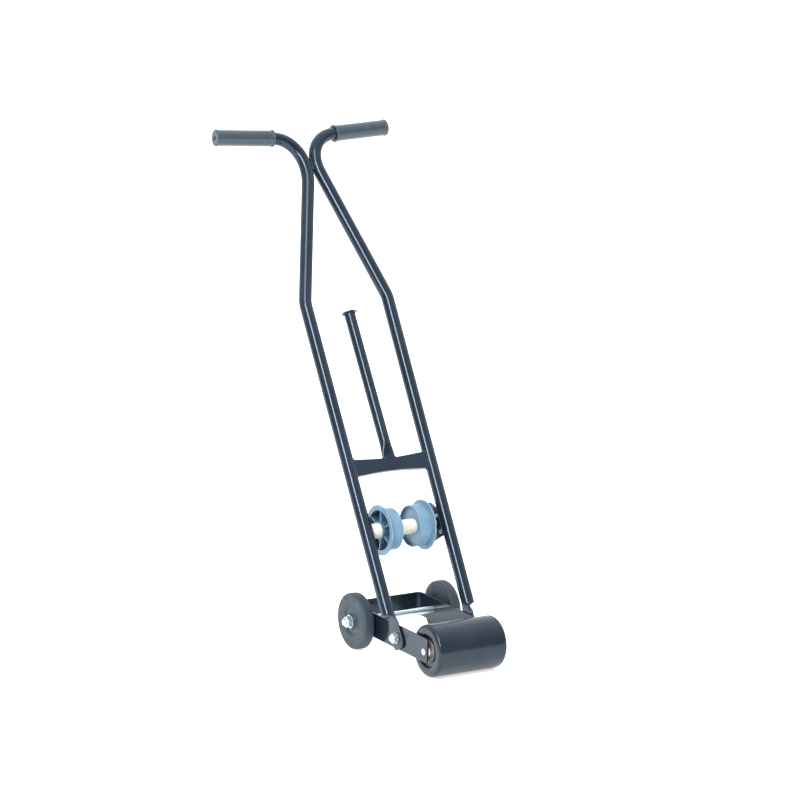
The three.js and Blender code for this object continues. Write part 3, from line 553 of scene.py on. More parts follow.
def sleeve_cream():
    """Cream plastic tube with drawn lines along it, yellowing and rub marks."""
    f = Finish("sleeve_cream", IOR=1.5, Subsurface_Weight=0.12)
    f.shader.inputs["Subsurface Radius"].default_value = (0.003, 0.002, 0.0015)
    yellow = f.remap(f.noise(35, 5), 0.38, 0.68)
    base = f.mix(yellow, (0.73, 0.72, 0.64), (0.67, 0.63, 0.51))
    marks = f.remap(f.noise(1, 4, 0.6, (40, 420, 420)), 0.60, 0.74)
    base = f.mix(f.multiply(marks, 0.3), base, (0.50, 0.48, 0.42))
    f.colour(base)
    f.roughness(f.remap(f.noise(120), 0.3, 0.7, 0.34, 0.5))
    f.bump(f.noise(1, 3, 0.5, (20, 900, 900)), 0.02)
    return f.material


PAINT = black_paint()
TYRE = wheel_rubber()
CENTRE = wheel_centre()
TREAD = roller_rubber()
VINYL = grip_vinyl()
ZINC = zinc_plate()
STEEL = core_steel()
NYLON = nylon()
BLUE = spool_blue()
CREAM = sleeve_cream()


def settle(obj, body, material, *nodes):
    """Gives a finished piece its material and body, and hides the CAD nodes it stands for."""
    obj.data.materials.clear()
    obj.data.materials.append(material)
    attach(obj, body)
    if nodes:
        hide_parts(*nodes)
    return obj


# ---------------------------------------------------------------- base frame

FRAME_BEND = 11
ARM_BOTTOM = node_box("base_frame")[0].z
ARM_TOP = node_box("base_frame")[1].z
ARM_TIP = node_box("base_frame")[0].y
CROSSPIECE = node_box("base_frame")[1].y


def bar_section(bottom, top):
    """The flat bar's section, thickness across and height up, with rounded edges."""
    half = ARM_THICKNESS / 2
    edge = 0.7
    return rounded([
        (-half, bottom, edge), (half, bottom, edge), (half, top, edge), (-half, top, edge)
    ], 3)


def frame_route():
    """Stations round the bar's middle line: a point, the outward direction, and the distance to a tip."""
    middle = (ARM_OUTER + ARM_INNER) / 2
    turn_radius = FRAME_BEND - ARM_THICKNESS / 2
    bend_y = CROSSPIECE - FRAME_BEND
    bend_x = ARM_OUTER - FRAME_BEND
    tip_steps = (0, 0.4, 1.2, 2.4, 4, 6)
    right = [(Vector((middle, ARM_TIP + d)), Vector((1, 0)), d) for d in tip_steps]
    right += [(Vector((middle, y)), Vector((1, 0)), 99) for y in (ROLLER.y + 12, PIVOT.y, AXLE.y)]
    for k in range(9):
        turn = math.pi / 2 * k / 8
        out = Vector((math.cos(turn), math.sin(turn)))
        right.append((Vector((bend_x, bend_y)) + out * turn_radius, out, 99))
    left = [(Vector((-p.x, p.y)), Vector((-out.x, out.y)), d) for p, out, d in reversed(right)]
    return right + left


def base_frame():
    corner = 6
    rings = []
    for point, out, distance in frame_route():
        cut = corner - math.sqrt(max(0, corner ** 2 - (corner - min(distance, corner)) ** 2))
        section = bar_section(ARM_BOTTOM + cut * 0.5, ARM_TOP - cut)
        rings.append([
            Vector((point.x + out.x * s.x, point.y + out.y * s.x, s.y)) for s in section
        ])
    obj = skin("frame_bar", rings)
    for name, centre, radius in (
        ("drill_axle", AXLE, AXLE_RADIUS), ("drill_pivot", PIVOT, 5), ("drill_roller", ROLLER, 5)
    ):
        carve(obj, bar(name, -ARM_OUTER - 2, ARM_OUTER + 2, radius + 0.25, centre, 40))
    even_normals(obj)
    settle(obj, "base", PAINT, "base_frame")


base_frame()


# ---------------------------------------------------------------- nuts, bolts and washers

HEX_STEPS = 96


def hex_radius(flats, turn):
    """Distance from a hexagon's middle to its side in a direction."""
    sixth = math.pi / 3
    off = (turn + sixth / 2) % sixth - sixth / 2
    return flats / 2 / math.cos(off)


def hex_solid(name, centre, side, x0, x1, flats, hole, collar=0):
    """A hexagon nut or head with chamfered corners, and a round collar beyond x1 when asked."""
    circle = flats / 2 * 0.96
    slope = math.tan(math.radians(28))
    rings = []
    for k in range(HEX_STEPS):
        turn = 2 * math.pi * k / HEX_STEPS
        corner = hex_radius(flats, turn)
        drop = max(0.0, corner - circle) * slope
        profile = [(x0 + 0.5, hole), (x0, hole + 0.5), (x0, circle), (x0 + drop, corner - 0.1)]
        profile += [(x1 - drop, corner - 0.1), (x1, circle)]
        if collar:
            neck = flats / 2 * 0.84
            profile += [(x1 + 0.2, neck + 0.3), (x1 + collar - 1, neck), (x1 + collar, neck - 1)]
            profile += [(x1 + collar, hole + 1.2), (x1 + collar - 0.8, hole)]
        else:
            profile += [(x1, hole + 0.5), (x1 - 0.5, hole)]
        rings.append([
            Vector((centre[0] + side * x, centre[1] + r * math.cos(turn), centre[2] + r * math.sin(turn)))
            for x, r in profile
        ])
    obj = skin(name, rings, loop=True)
    if hole == 0:
        bm = bmesh.new()
        bm.from_mesh(obj.data)
        bmesh.ops.remove_doubles(bm, verts=bm.verts, dist=1e-7)
        bm.to_mesh(obj.data)
        bm.free()
        shade(obj.data)
    return obj


def threaded(name, centre, side, stations, radius, pitch, thread_from):
    """A rod about X whose surface beyond thread_from is a helical thread."""
    depth = pitch * 0.5
    around = 40
    x_first, x_last = stations
    xs = [x_first, thread_from]
    steps = max(2, int((x_last - 0.9 - thread_from) / pitch * 8))
    xs += [thread_from + (x_last - 0.9 - thread_from) * (k + 1) / steps for k in range(steps)]
    rings = []
    for x in xs:
        ring = []
        for k in range(around):
            turn = k / around
            groove = 0.0
            if x > thread_from:
                phase = ((x - thread_from) / pitch - turn) % 1
                groove = depth * (1 - abs(2 * phase - 1))
            r = radius - groove
            ring.append(Vector((
                centre[0] + side * x,
                centre[1] + r * math.cos(2 * math.pi * turn),
                centre[2] + r * math.sin(2 * math.pi * turn),
            )))
        rings.append(ring)
    end = radius - depth - 0.3
    rings.append([
        Vector((
            centre[0] + side * x_last,
            centre[1] + end * math.cos(2 * math.pi * k / around),
            centre[2] + end * math.sin(2 * math.pi * k / around),
        ))
        for k in range(around)
    ])
    return skin(name, rings)


def washer(name, centre, side, node, inner, outer):
    low, high = node_box(node)
    x0, x1 = sorted((abs(low.x), abs(high.x)))
    soft = 0.35
    return turned(name, [
        (x0, inner), (x0, outer, soft), (x1, outer, soft), (x1, inner, soft)
    ], centre, 72, side)


def span(node):
    """The two distances from the middle plane that a node reaches between."""
    low, high = node_box(node)
    return sorted((abs(low.x), abs(high.x)))


for side, word in SIDES:
    centre = (0, AXLE.y, AXLE.z)
    x0, x1 = span(f"axle_nut_{word}")
    collar = 2.6
    bore = AXLE_RADIUS + 0.1
    nut = hex_solid(f"locknut_{word}", centre, side, x0, x1 - collar, AXLE_NUT_FLATS, bore, collar)
    settle(even_normals(nut), "base", ZINC, f"axle_nut_{word}")
    disc = washer(f"wheel_washer_{word}", centre, side, f"axle_washer_{word}", AXLE_RADIUS + 0.3, 12)
    settle(disc, "base", ZINC, f"axle_washer_{word}")
    x0, x1 = span(f"axle_spacer_{word}")
    tube = turned(f"wheel_spacer_{word}", [
        (x0, AXLE_RADIUS + 0.3, 0.3), (x0, AXLE_SPACER_RADIUS, 0.5),
        (x1, AXLE_SPACER_RADIUS, 0.5), (x1, AXLE_RADIUS + 0.3, 0.3),
    ], centre, 64, side)
    settle(tube, "base", ZINC, f"axle_spacer_{word}")

axle_half = node_box("wheel_axle")[1].x
plain = axle_half - AXLE_THREAD_LENGTH
axle_rod = bar("axle_rod", -plain, plain, AXLE_RADIUS, (0, AXLE.y, AXLE.z), 72)
settle(axle_rod, "base", ZINC, "wheel_axle")
for side, word in SIDES:
    end = threaded(
        f"axle_thread_{word}", (0, AXLE.y, AXLE.z), side,
        (plain, axle_half), AXLE_RADIUS - 0.02, 1.95, plain + 1
    )
    settle(end, "base", ZINC)

for side, word in SIDES:
    centre = (0, PIVOT.y, PIVOT.z)
    x0, x1 = span(f"pivot_nut_{word}")
    nut = hex_solid(f"pivot_locknut_{word}", centre, side, x0, x1 - 2.2, PIVOT_NUT_FLATS, 5.1, 2.2)
    settle(even_normals(nut), "base", ZINC, f"pivot_nut_{word}")
    disc = washer(f"pivot_disc_{word}", centre, side, f"pivot_washer_{word}", 5.3, 10)
    settle(disc, "base", ZINC, f"pivot_washer_{word}")
    x0, x1 = span(f"pivot_bolt_{word}")
    head_top = ARM_INNER - 0.3
    head = hex_solid(f"pivot_head_{word}", centre, -side, -head_top, -x0, PIVOT_NUT_FLATS, 0)
    settle(even_normals(head), "base", ZINC)
    shank = threaded(
        f"pivot_shank_{word}", centre, side, (head_top - 1, x1), PIVOT_BOLT_RADIUS, 1.5, x1 - 13
    )
    settle(shank, "base", ZINC, f"pivot_bolt_{word}")


# ---------------------------------------------------------------- wheels

def wheel(side, word):
    centre = (0, AXLE.y, AXLE.z)
    out, inn = WHEEL_OUTER, WHEEL_INNER
    middle = (out + inn) / 2
    tyre = turned(f"tyre_{word}", [
        (inn + 1.0, WHEEL_HUB_RADIUS + 0.25, 0.4),
        (out - 1.0, WHEEL_HUB_RADIUS + 0.25, 0.4),
        (out - 0.3, WHEEL_HUB_RADIUS + 2.4, 1.2),
        (out, WHEEL_RADIUS - 9, 3),
        (out - 0.5, WHEEL_RADIUS - 0.6, 3.6),
        (middle + 0.5, WHEEL_RADIUS, 0.2),
        (middle + 0.25, WHEEL_RADIUS - 0.35, 0.1),
        (middle - 0.25, WHEEL_RADIUS - 0.35, 0.1),
        (middle - 0.5, WHEEL_RADIUS, 0.2),
        (inn + 0.5, WHEEL_RADIUS - 0.6, 3.6),
        (inn, WHEEL_RADIUS - 9, 3),
        (inn + 0.3, WHEEL_HUB_RADIUS + 2.4, 1.2),
    ], centre, 128, side)
    settle(tyre, f"wheel_{word}", TYRE, f"wheel_tyre_{word}")
    boss_out = span(f"wheel_hub_{word}")[1]
    boss_in = span(f"wheel_hub_{word}")[0]
    recess = 2.4
    hub = turned(f"wheel_core_{word}", [
        (boss_in, 8.3, 0.3),
        (boss_out, 8.3, 0.5),
        (boss_out, WHEEL_BOSS_RADIUS, 1.0),
        (out - recess, WHEEL_BOSS_RADIUS + 1.5, 1.2),
        (out - recess, WHEEL_HUB_RADIUS - 3, 1.4),
        (out - 0.9, WHEEL_HUB_RADIUS - 1.2, 0.8),
        (out - 1.0, WHEEL_HUB_RADIUS, 0.4),
        (inn + 1.0, WHEEL_HUB_RADIUS, 0.4),
        (inn + 0.9, WHEEL_HUB_RADIUS - 1.2, 0.8),
        (inn + recess, WHEEL_HUB_RADIUS - 3, 1.4),
        (inn + recess, WHEEL_BOSS_RADIUS + 1.5, 1.2),
        (boss_in, WHEEL_BOSS_RADIUS, 1.0),
    ], centre, 112, side)
    settle(hub, f"wheel_{word}", CENTRE, f"wheel_hub_{word}")
    x0, x1 = span(f"wheel_bushing_{word}")
    bush = turned(f"wheel_bush_{word}", [
        (x0, AXLE_RADIUS + 0.3, 0.2), (x0, 8, 0.3), (x1, 8, 0.3), (x1, AXLE_RADIUS + 0.3, 0.2)
    ], centre, 56, side)
    settle(bush, f"wheel_{word}", STEEL, f"wheel_bushing_{word}")


for side, word in SIDES:
    wheel(side, word)


# ---------------------------------------------------------------- roller

def roller():
    centre = (0, ROLLER.y, ROLLER.z)
    end = ROLLER_HALF
    recess = end - 5
    core = ROLLER_CORE_RADIUS
    half = [
        (recess, core + 0.25, 0.3),
        (recess, 27.5, 1.5),
        (end - 0.4, 30, 1.5),
        (end, 36, 4),
        (end - 0.6, ROLLER_RADIUS, 7),
    ]
    mirrored = [(-x, r, f) for x, r, f in reversed(half)]
    tread = turned("roller_tread", half + mirrored, centre, 160, steps=8)
    settle(tread, "roller", TREAD, "roller_rubber")
    core_end = node_box("roller_core")[1].x
    tube = turned("roller_tube", [
        (-core_end, 9, 0.5), (-core_end, core, 0.8), (core_end, core, 0.8), (core_end, 9, 0.5)
    ], centre, 96)
    settle(tube, "roller", STEEL, "roller_core")
    for side, word in SIDES:
        x0, x1 = span(f"roller_bushing_{word}")
        bush = turned(f"roller_bush_{word}", [
            (x0, 5.3, 0.2), (x0, 8.7, 0.3), (x1, 8.7, 0.6), (x1, 5.3, 0.4)
        ], centre, 56, side)
        settle(bush, "roller", NYLON, f"roller_bushing_{word}")
        x0, x1 = span(f"roller_spacer_{word}")
        ring = turned(f"roller_thrust_ring_{word}", [
            (x0, 5.3, 0.3), (x0, 10, 0.6), (x1, 10, 0.6), (x1, 5.3, 0.3)
        ], centre, 56, side)
        settle(ring, "base", NYLON, f"roller_spacer_{word}")
    peen = ARM_OUTER + 0.3
    tip = node_box("roller_axle")[1].x
    half = [
        (peen, 5, 0.2), (peen, 6.2, 0.5), (peen + 1.0, 5.9, 0.9), (tip - 0.2, 3.7, 1.4),
        (tip - 0.5, 1.6, 0.3), (tip - 0.9, 0),
    ]
    mirrored = [(-c[0], *c[1:]) for c in reversed(half)]
    rod = turned("roller_shaft", half + mirrored, centre, 64, steps=4)
    settle(rod, "base", ZINC, "roller_axle")


roller()


# ---------------------------------------------------------------- handle tubes

def polar(origin, angle, distance):
    return Vector((origin[0] + distance * math.cos(angle), origin[1] + distance * math.sin(angle)))


SHAFT_ANGLE = math.atan2(KNEE.y, KNEE.x - TUBE_FOOT_U)


def shoulder(side):
    """One side's shoulder bend: corner, start, end, and the directions of its neck and grip."""
    corner, neck_reach, grip_reach, rise = SHOULDER[side]
    away = corner - KNEE
    neck = math.atan2(away.y, away.x)
    return corner, polar(corner, neck, -neck_reach), polar(corner, rise, grip_reach), neck, rise


def tube_ring(point, angle, half_depth, half_width, side, centre=0.0):
    """A ring across the tube: a circle, or a flattened tube when the half sizes differ."""
    across = Vector((math.sin(angle), -math.cos(angle)))
    ring = []
    for k in range(TUBE_SIDES):
        turn = 2 * math.pi * (k + 0.5) / TUBE_SIDES
        reach = max(-1, min(1, math.cos(turn) * 1.6)) * (half_width - half_depth)
        behind = centre + reach + half_depth * math.cos(turn)
        outward = half_depth * math.sin(turn)
        ring.append(Vector((side * (point.x + across.x * outward), behind, point.y + across.y * outward)))
    return ring


def shaft_u(w):
    return TUBE_FOOT_U + w / math.tan(SHAFT_ANGLE)


def bend_stations(side):
    """The tube's middle line from the knee to inside the grip: points, directions, depths."""
    corner, start, leave, neck, rise = shoulder(side)
    knee_turn = neck - SHAFT_ANGLE
    knee_start = polar(KNEE, SHAFT_ANGLE, -KNEE_BEND * math.tan(knee_turn / 2))
    centre = polar(knee_start, SHAFT_ANGLE + math.pi / 2, KNEE_BEND)
    stations = []
    for k in range(13):
        angle = SHAFT_ANGLE + knee_turn * k / 12
        stations.append((polar(centre, angle - math.pi / 2, KNEE_BEND), angle, 0.0))
    back, onward = start - corner, leave - corner
    for k in range(45):
        turn = math.pi / 2 * k / 44
        point = corner + back * (1 - math.sin(turn)) + onward * (1 - math.cos(turn))
        heading = onward * math.sin(turn) - back * math.cos(turn)
        stations.append((point, math.atan2(heading.y, heading.x), 0.0))
    reach = GRIP_LENGTH - 6
    end = polar(leave, rise, reach * math.cos(GRIP_SWEEP))
    stations.append((end, rise, reach * math.sin(GRIP_SWEEP)))
    return stations


def ease(x):
    """0 to 1 with level ends."""
    return x * x * (3 - 2 * x)


def blend(a, b, share):
    return a + (b - a) * share


def handle_tube(side, word):
    upright = math.pi / 2
    half = TAB_THICKNESS / 2
    tab_u = TAB_INNER + half
    rings = []
    for k in range(9):
        turn = math.pi / 2 * k / 8
        w = TAB_BOTTOM_W + TAB_CORNER * (1 - math.cos(turn))
        width = TAB_HALF_WIDTH - TAB_CORNER * (1 - math.sin(turn))
        rim = 0.55 + 0.45 * min(1, k / 2)
        rings.append(tube_ring(Vector((tab_u, w)), upright, half * rim, width, side))
    for w in (PIVOT_W - 8, PIVOT_W + 8, TAB_TOP_W - 8):
        rings.append(tube_ring(Vector((tab_u, w)), upright, half, TAB_HALF_WIDTH, side))
    for k in range(9):
        x = k / 8
        w = blend(TAB_TOP_W - 4, TAB_FOLD_W, x)
        width = blend(TAB_HALF_WIDTH, TAB_FOLD_HALF_WIDTH, ease(x))
        rings.append(tube_ring(Vector((tab_u, w)), upright, half, width, side))
    for k in range(1, 13):
        x = k / 12
        w = blend(TAB_FOLD_W, TUBE_START_W, x)
        depth = blend(half, TUBE_RADIUS, ease(x))
        width = blend(TAB_FOLD_HALF_WIDTH, TUBE_RADIUS, x)
        u = blend(tab_u, shaft_u(w), ease(x))
        rings.append(tube_ring(Vector((u, w)), upright, depth, width, side))
    for w in (TUBE_START_W + 3, 240, 380, 520, 640):
        rings.append(tube_ring(Vector((shaft_u(w), w)), SHAFT_ANGLE, TUBE_RADIUS, TUBE_RADIUS, side))
    for point, angle, behind in bend_stations(side):
        rings.append(tube_ring(point, angle, TUBE_RADIUS, TUBE_RADIUS, side, behind))
    obj = skin(f"tube_{word}", rings, HANDLE)
    carve(obj, bar("drill_tab", -120, 120, 5.3, (0, PIVOT.y, PIVOT.z), 40))
    even_normals(obj)
    settle(obj, "handle", PAINT, f"handle_tube_{word}")


for side, word in SIDES:
    handle_tube(side, word)


# ---------------------------------------------------------------- grips

def grip(side, word):
    bore = TUBE_RADIUS + 0.15
    end = GRIP_LENGTH
    body = GRIP_RADIUS
    flange = GRIP_FLANGE_RADIUS
    corners = [
        (0, bore, 0.4), (0, flange, 1.3), (2.9, flange, 1.3), (3.5, body + 0.2, 0.9),
        (end * 0.5, body - 0.1, 40), (end - 5.4, body, 1.2), (end - 4.2, body + 0.9, 1.0),
        (end - 1.2, body + 0.9, 1.3), (end, body - 1.6, 1.3), (end - 0.2, 5.4, 0.8),
        (end - 1.6, 3.4, 0.6), (end - 3.6, 2.9, 0.3), (end - 3.8, bore, 0.3),
    ]
    obj = turned(f"grip_sleeve_{word}", corners, (0, 0, 0), 96)
    leave, rise = shoulder(side)[2], SHOULDER[side][3]
    start = polar(leave, rise, 0.3)
    sweep = GRIP_SWEEP if side > 0 else math.pi - GRIP_SWEEP
    local = Matrix.Translation((side * start.x, 0, start.y)) @ Matrix.Rotation(-side * rise, 4, "Y")
    tilt_onto_handle(obj, HANDLE @ local @ Matrix.Rotation(sweep, 4, "Z"))
    settle(obj, "handle", VINYL, f"grip_{word}")


for side, word in SIDES:
    grip(side, word)


# ---------------------------------------------------------------- crossbar, post and welds

def bezier(a, b, c, d, t):
    s = 1 - t
    return a * s ** 3 + 3 * b * s * s * t + 3 * c * s * t * t + d * t ** 3


def crossbar_edges(t):
    """Across, bottom and top of the crossbar; t runs 0 to 1 from its middle to an end."""
    u = bezier(0, 46, 46, KNEE.x, t)
    share = 3 * (1 - t) * t * t + t ** 3
    bottom = CROSSBAR_WAIST_BOTTOM_W + (CROSSBAR_BOTTOM_W - CROSSBAR_WAIST_BOTTOM_W) * share
    top = CROSSBAR_WAIST_TOP_W + (CROSSBAR_TOP_W - CROSSBAR_WAIST_TOP_W) * share
    return u, bottom, top


def channel_section(bottom, top):
    """A pressed channel open to the back, as (behind, up) points."""
    front, back, sheet = CROSSBAR_FRONT, CROSSBAR_BACK, CROSSBAR_SHEET
    inner = front + sheet
    return rounded([
        (front, bottom, 3.2), (back, bottom, 0.8), (back, bottom + sheet, 0.8),
        (inner, bottom + sheet, 0.8), (inner, top - sheet, 0.8), (back, top - sheet, 0.8),
        (back, top, 0.8), (front, top, 3.2),
    ], 6)


def crossbar():
    last = 0.97
    shares = [last * k / 16 for k in range(17)]
    stations = [-t for t in reversed(shares[1:])] + shares
    rings = []
    for t in stations:
        u, bottom, top = crossbar_edges(abs(t))
        u = math.copysign(min(u, 79), t) if t else 0
        rings.append([Vector((u, p.x, p.y)) for p in channel_section(bottom, top)])
    obj = skin("crossbar_channel", rings, HANDLE)
    even_normals(obj)
    settle(obj, "handle", PAINT, "crossbar")


def weld_bead(name, route, radius, body, seed, *nodes):
    """A rippled bead along a route in the handle's axes."""
    fine = []
    for a, b in zip(route, route[1:]):
        steps = max(1, int((b - a).length / 0.45))
        fine += [a.lerp(b, k / steps) for k in range(steps)]
    fine.append(route[-1])
    rings = []
    travelled = 0.0
    for i, point in enumerate(fine):
        ahead = fine[min(i + 1, len(fine) - 1)] - fine[max(i - 1, 0)]
        ahead.normalize()
        if i:
            travelled += (point - fine[i - 1]).length
        side_a = ahead.orthogonal().normalized()
        side_b = ahead.cross(side_a)
        ends = min(1.0, (min(i, len(fine) - 1 - i) + 0.6) / 3)
        ripple = 1 + 0.13 * math.sin(travelled * 2 * math.pi / 2.3)
        ring = []
        for k in range(14):
            turn = 2 * math.pi * k / 14
            lump = 1 + 0.16 * noise.noise(point * 0.5 + Vector((seed, k * 0.37, 0)))
            r = radius * ripple * lump * ends
            ring.append(point + side_a * (r * math.cos(turn)) + side_b * (r * math.sin(turn)))
        rings.append(ring)
    obj = skin(name, rings, HANDLE)
    shade(obj.data, 70)
    settle(obj, body, PAINT, *nodes)


POST_FOOT_W = CROSSBAR_WAIST_TOP_W
POST_LENGTH = POST_TOP_W - POST_FOOT_W


def post_ring(height, half_width, half_depth):
    behind = blend(POST_FOOT_N, POST_TOP_N, height / POST_LENGTH)
    ring = []
    for k in range(48):
        turn = 2 * math.pi * (k + 0.5) / 48
        ring.append(Vector((
            half_width * math.cos(turn), behind + half_depth * math.sin(turn), POST_FOOT_W + height
        )))
    return ring


def spare_roll_post():
    rings = [post_ring(-0.4, POST_FOOT_HALF_WIDTH - 0.3, POST_FOOT_HALF_DEPTH - 0.3)]
    for k in range(17):
        x = k / 16
        rings.append(post_ring(
            1 + POST_CRIMP * x,
            blend(POST_FOOT_HALF_WIDTH, POST_RADIUS, ease(x)),
            blend(POST_FOOT_HALF_DEPTH, POST_RADIUS, ease(x)),
        ))
    rings += [post_ring(POST_LENGTH * part, POST_RADIUS, POST_RADIUS) for part in (0.3, 0.65, 0.995)]
    for height, inset in ((-0.2, 0.3), (0, 1.3), (-16, 1.5)):
        rings.append(post_ring(POST_LENGTH + height, POST_RADIUS - inset, POST_RADIUS - inset))
    obj = skin("post_tube", rings, HANDLE)
    even_normals(obj)
    settle(obj, "handle", PAINT, "spare_roll_post")
    plug = POST_RADIUS - 1.8
    cap = turned("post_plug", [
        (-14, 0), (-14, plug - 0.7, 0.6), (0.3, plug),
        (0.3, POST_CAP_RADIUS, 0.9), (2.4, POST_CAP_RADIUS, 1.0),
        (3.5, POST_CAP_RADIUS - 5, 2.5), (3.5, 0),
    ], (0, 0, 0), 72)
    lean = Matrix.Rotation(-math.atan2(POST_TOP_N - POST_FOOT_N, POST_LENGTH), 4, "X")
    place = Matrix.Translation((0, POST_TOP_N, POST_TOP_W)) @ lean
    tilt_onto_handle(cap, HANDLE @ place @ Matrix.Rotation(-math.pi / 2, 4, "Y"))
    settle(cap, "handle", VINYL, "post_cap")


def welds():
    seed = 3.1
    for side, word in SIDES:
        route = []
        _, bottom, top = crossbar_edges(0.93)
        stops = [(CROSSBAR_BACK - 1, top), (CROSSBAR_FRONT + 2, top), (CROSSBAR_FRONT - 0.2, top - 2)]
        stops += [(CROSSBAR_FRONT - 0.2, bottom + 2), (CROSSBAR_FRONT + 2, bottom)]
        stops += [(CROSSBAR_BACK - 1, bottom)]
        for n, w in stops:
            surface = shaft_u(w) - math.sqrt(TUBE_RADIUS ** 2 - min(abs(n), TUBE_RADIUS - 1) ** 2)
            route.append(Vector((side * (surface - 0.4), n, w)))
        weld_bead(f"crossbar_weld_{word}", route, 1.7, "handle", seed * side)
    ring = [
        Vector((
            POST_FOOT_HALF_WIDTH * math.cos(2 * math.pi * k / 24),
            POST_FOOT_N + (POST_FOOT_HALF_DEPTH + 0.2) * math.sin(2 * math.pi * k / 24),
            POST_FOOT_W + 0.3,
        ))
        for k in range(25)
    ]
    weld_bead("post_weld", ring, 1.5, "handle", seed * 3)
    for face, depth, nodes in (("front", -4.6, ("handle_weld",)), ("back", 4.6, ())):
        low = Vector((0, depth, NECK_WELD_W - 12))
        high = Vector((0, depth, NECK_WELD_W + 12))
        weld_bead(f"neck_weld_{face}", [low, high], 2.5, "handle", seed * 5 + depth, *nodes)


crossbar()
spare_roll_post()
welds()


# ---------------------------------------------------------------- spool, hubs and brackets

def tape_hub(side, word):
    rim = HUB_BODY_RADIUS - 2.4
    boss = HUB_BOSS_RADIUS
    web = HUB_WEB
    bore = SLEEVE_RADIUS + 0.25
    flange_in = HUB_FLANGE - 3
    body = turned(f"hub_{word}", [
        (web - HUB_WEB_SHEET, bore, 0.4),
        (HUB_BOSS, bore, 0.5),
        (HUB_BOSS, boss - 0.7, 0.7),
        (web, boss, 1.4),
        (web, rim - 0.7, 1.8),
        (HUB_FLANGE, rim, 0.7),
        (HUB_FLANGE, HUB_FLANGE_RADIUS, 1.0),
        (flange_in, HUB_FLANGE_RADIUS, 1.0),
        (flange_in, HUB_BODY_RADIUS + 0.2, 1.6),
        (HUB_INNER, HUB_BODY_RADIUS - 0.3, 1.2),
        (HUB_INNER, rim, 0.6),
        (web - HUB_WEB_SHEET, rim - 0.7, 1.5),
    ], SPOOL, 128, side)
    body.modifiers.clear()
    spokes = 6
    depth = HUB_FLANGE - 0.7 - web
    length = rim - boss + 2.2
    for k in range(spokes):
        spoke = bevel(block("spoke", (depth, 3, length)), 0.6, 3)
        turn = Matrix.Rotation(2 * math.pi * k / spokes, 4, "X")
        out = Matrix.Translation(
            Vector((side * (web - 1 + depth / 2), 0, boss - 1.1 + length / 2)) * MM
        )
        spoke.data.transform(Matrix.Translation(SPOOL * MM) @ turn @ out)
        carve(body, spoke, "UNION")
    shade(body.data)
    even_normals(body)
    settle(body, f"hub_{word}", BLUE, f"tape_hub_{word}")


def spool_sleeve():
    end = node_box("spool_sleeve")[1].x
    obj = turned("sleeve_tube", [
        (-end, 4.3, 0.4), (-end, SLEEVE_RADIUS, 0.8), (end, SLEEVE_RADIUS, 0.8), (end, 4.3, 0.4)
    ], SPOOL, 80)
    settle(obj, "spool", CREAM, "spool_sleeve")
    reach = node_box("spool_rod")[1].x
    rod = turned("spindle_rod", [
        (-reach, 0), (-reach, 4, 0.6), (reach, 4, 0.6), (reach, 0)
    ], SPOOL, 48)
    settle(rod, "handle", ZINC, "spool_rod")
    for side, word in SIDES:
        x0, x1 = span(f"rod_cap_{word}")
        cap = turned(f"spindle_cap_{word}", [
            (x0, 4.1), (x0, 6.2, 0.2), (x0 + 0.9, 6.2, 0.3), (x1 - 0.8, 5.2, 1.2), (x1, 4.1, 0.3)
        ], SPOOL, 48, side)
        settle(cap, "handle", ZINC, f"rod_cap_{word}")


def spool_bracket(side, word):
    outline = rounded([
        (-1.5, 229, 1), (37, 229, 6), (37, 297, 12), (15, 297, 2), (-1.5, 280, 1)
    ], 8)
    x0, x1 = span(f"spool_bracket_{word}")
    rings = [[Vector((side * x, p.x, p.y)) for p in outline] for x in (x0, x1)]
    obj = skin(f"bracket_{word}", rings, HANDLE)
    hole = bar("drill_rod", -90, 90, 4.3, SPOOL, 40)
    carve(obj, hole)
    bevel(obj, 0.45, 3, 50)
    even_normals(obj)
    settle(obj, "handle", PAINT, f"spool_bracket_{word}")


def bracket_screw(side, word, number):
    node = f"bracket_screw_{word}_{number}"
    low, high = node_box(node)
    centre = (low + high) / 2
    x0, x1 = span(node)
    obj = turned(f"pan_screw_{word}_{number}", [
        (x0, 0), (x0, 2.4, 1.4), (x0 + 1.1, 3.8, 0.5), (x0 + 2, 3.8, 0.15), (x0 + 2, 2), (x1, 2), (x1, 0)
    ], (0, centre.y, centre.z), 40, side)
    obj.modifiers.clear()
    for turn in (0.4, 0.4 + math.pi / 2):
        slot = block("driver", (1.8, 0.8, 3.6))
        place = Matrix.Translation(Vector((side * (x0 + 0.2), centre.y, centre.z)) * MM)
        slot.data.transform(place @ Matrix.Rotation(turn, 4, "X"))
        carve(obj, slot)
    even_normals(obj)
    settle(obj, "handle", ZINC, node)


spool_sleeve()
for side, word in SIDES:
    tape_hub(side, word)
    spool_bracket(side, word)
    for number in (1, 2):
        bracket_screw(side, word, number)


# ---------------------------------------------------------------- floor, light and camera

def stage_material():
    """White sheet lit from below, as on a product photographer's table."""
    f = Finish("floor", IOR=1.3)
    tone = f.remap(f.noise(3), 0.3, 0.7)
    f.colour(f.mix(tone, (0.93, 0.93, 0.93), (0.95, 0.95, 0.95)))
    f.shader.inputs["Roughness"].default_value = 0.9
    f.shader.inputs["Specular IOR Level"].default_value = 0.1
    f.shader.inputs["Emission Color"].default_value = (1, 1, 1, 1)
    f.shader.inputs["Emission Strength"].default_value = 0.6
    return f.material


FLOOR_REACH = 20000


def floor():
    signs = ((-1, -1), (1, -1), (1, 1), (-1, 1))
    corners = [Vector((x * FLOOR_REACH, y * FLOOR_REACH, 0)) for x, y in signs]
    obj = piece("floor", corners, [(0, 1, 2, 3)])
    obj.data.materials.append(stage_material())


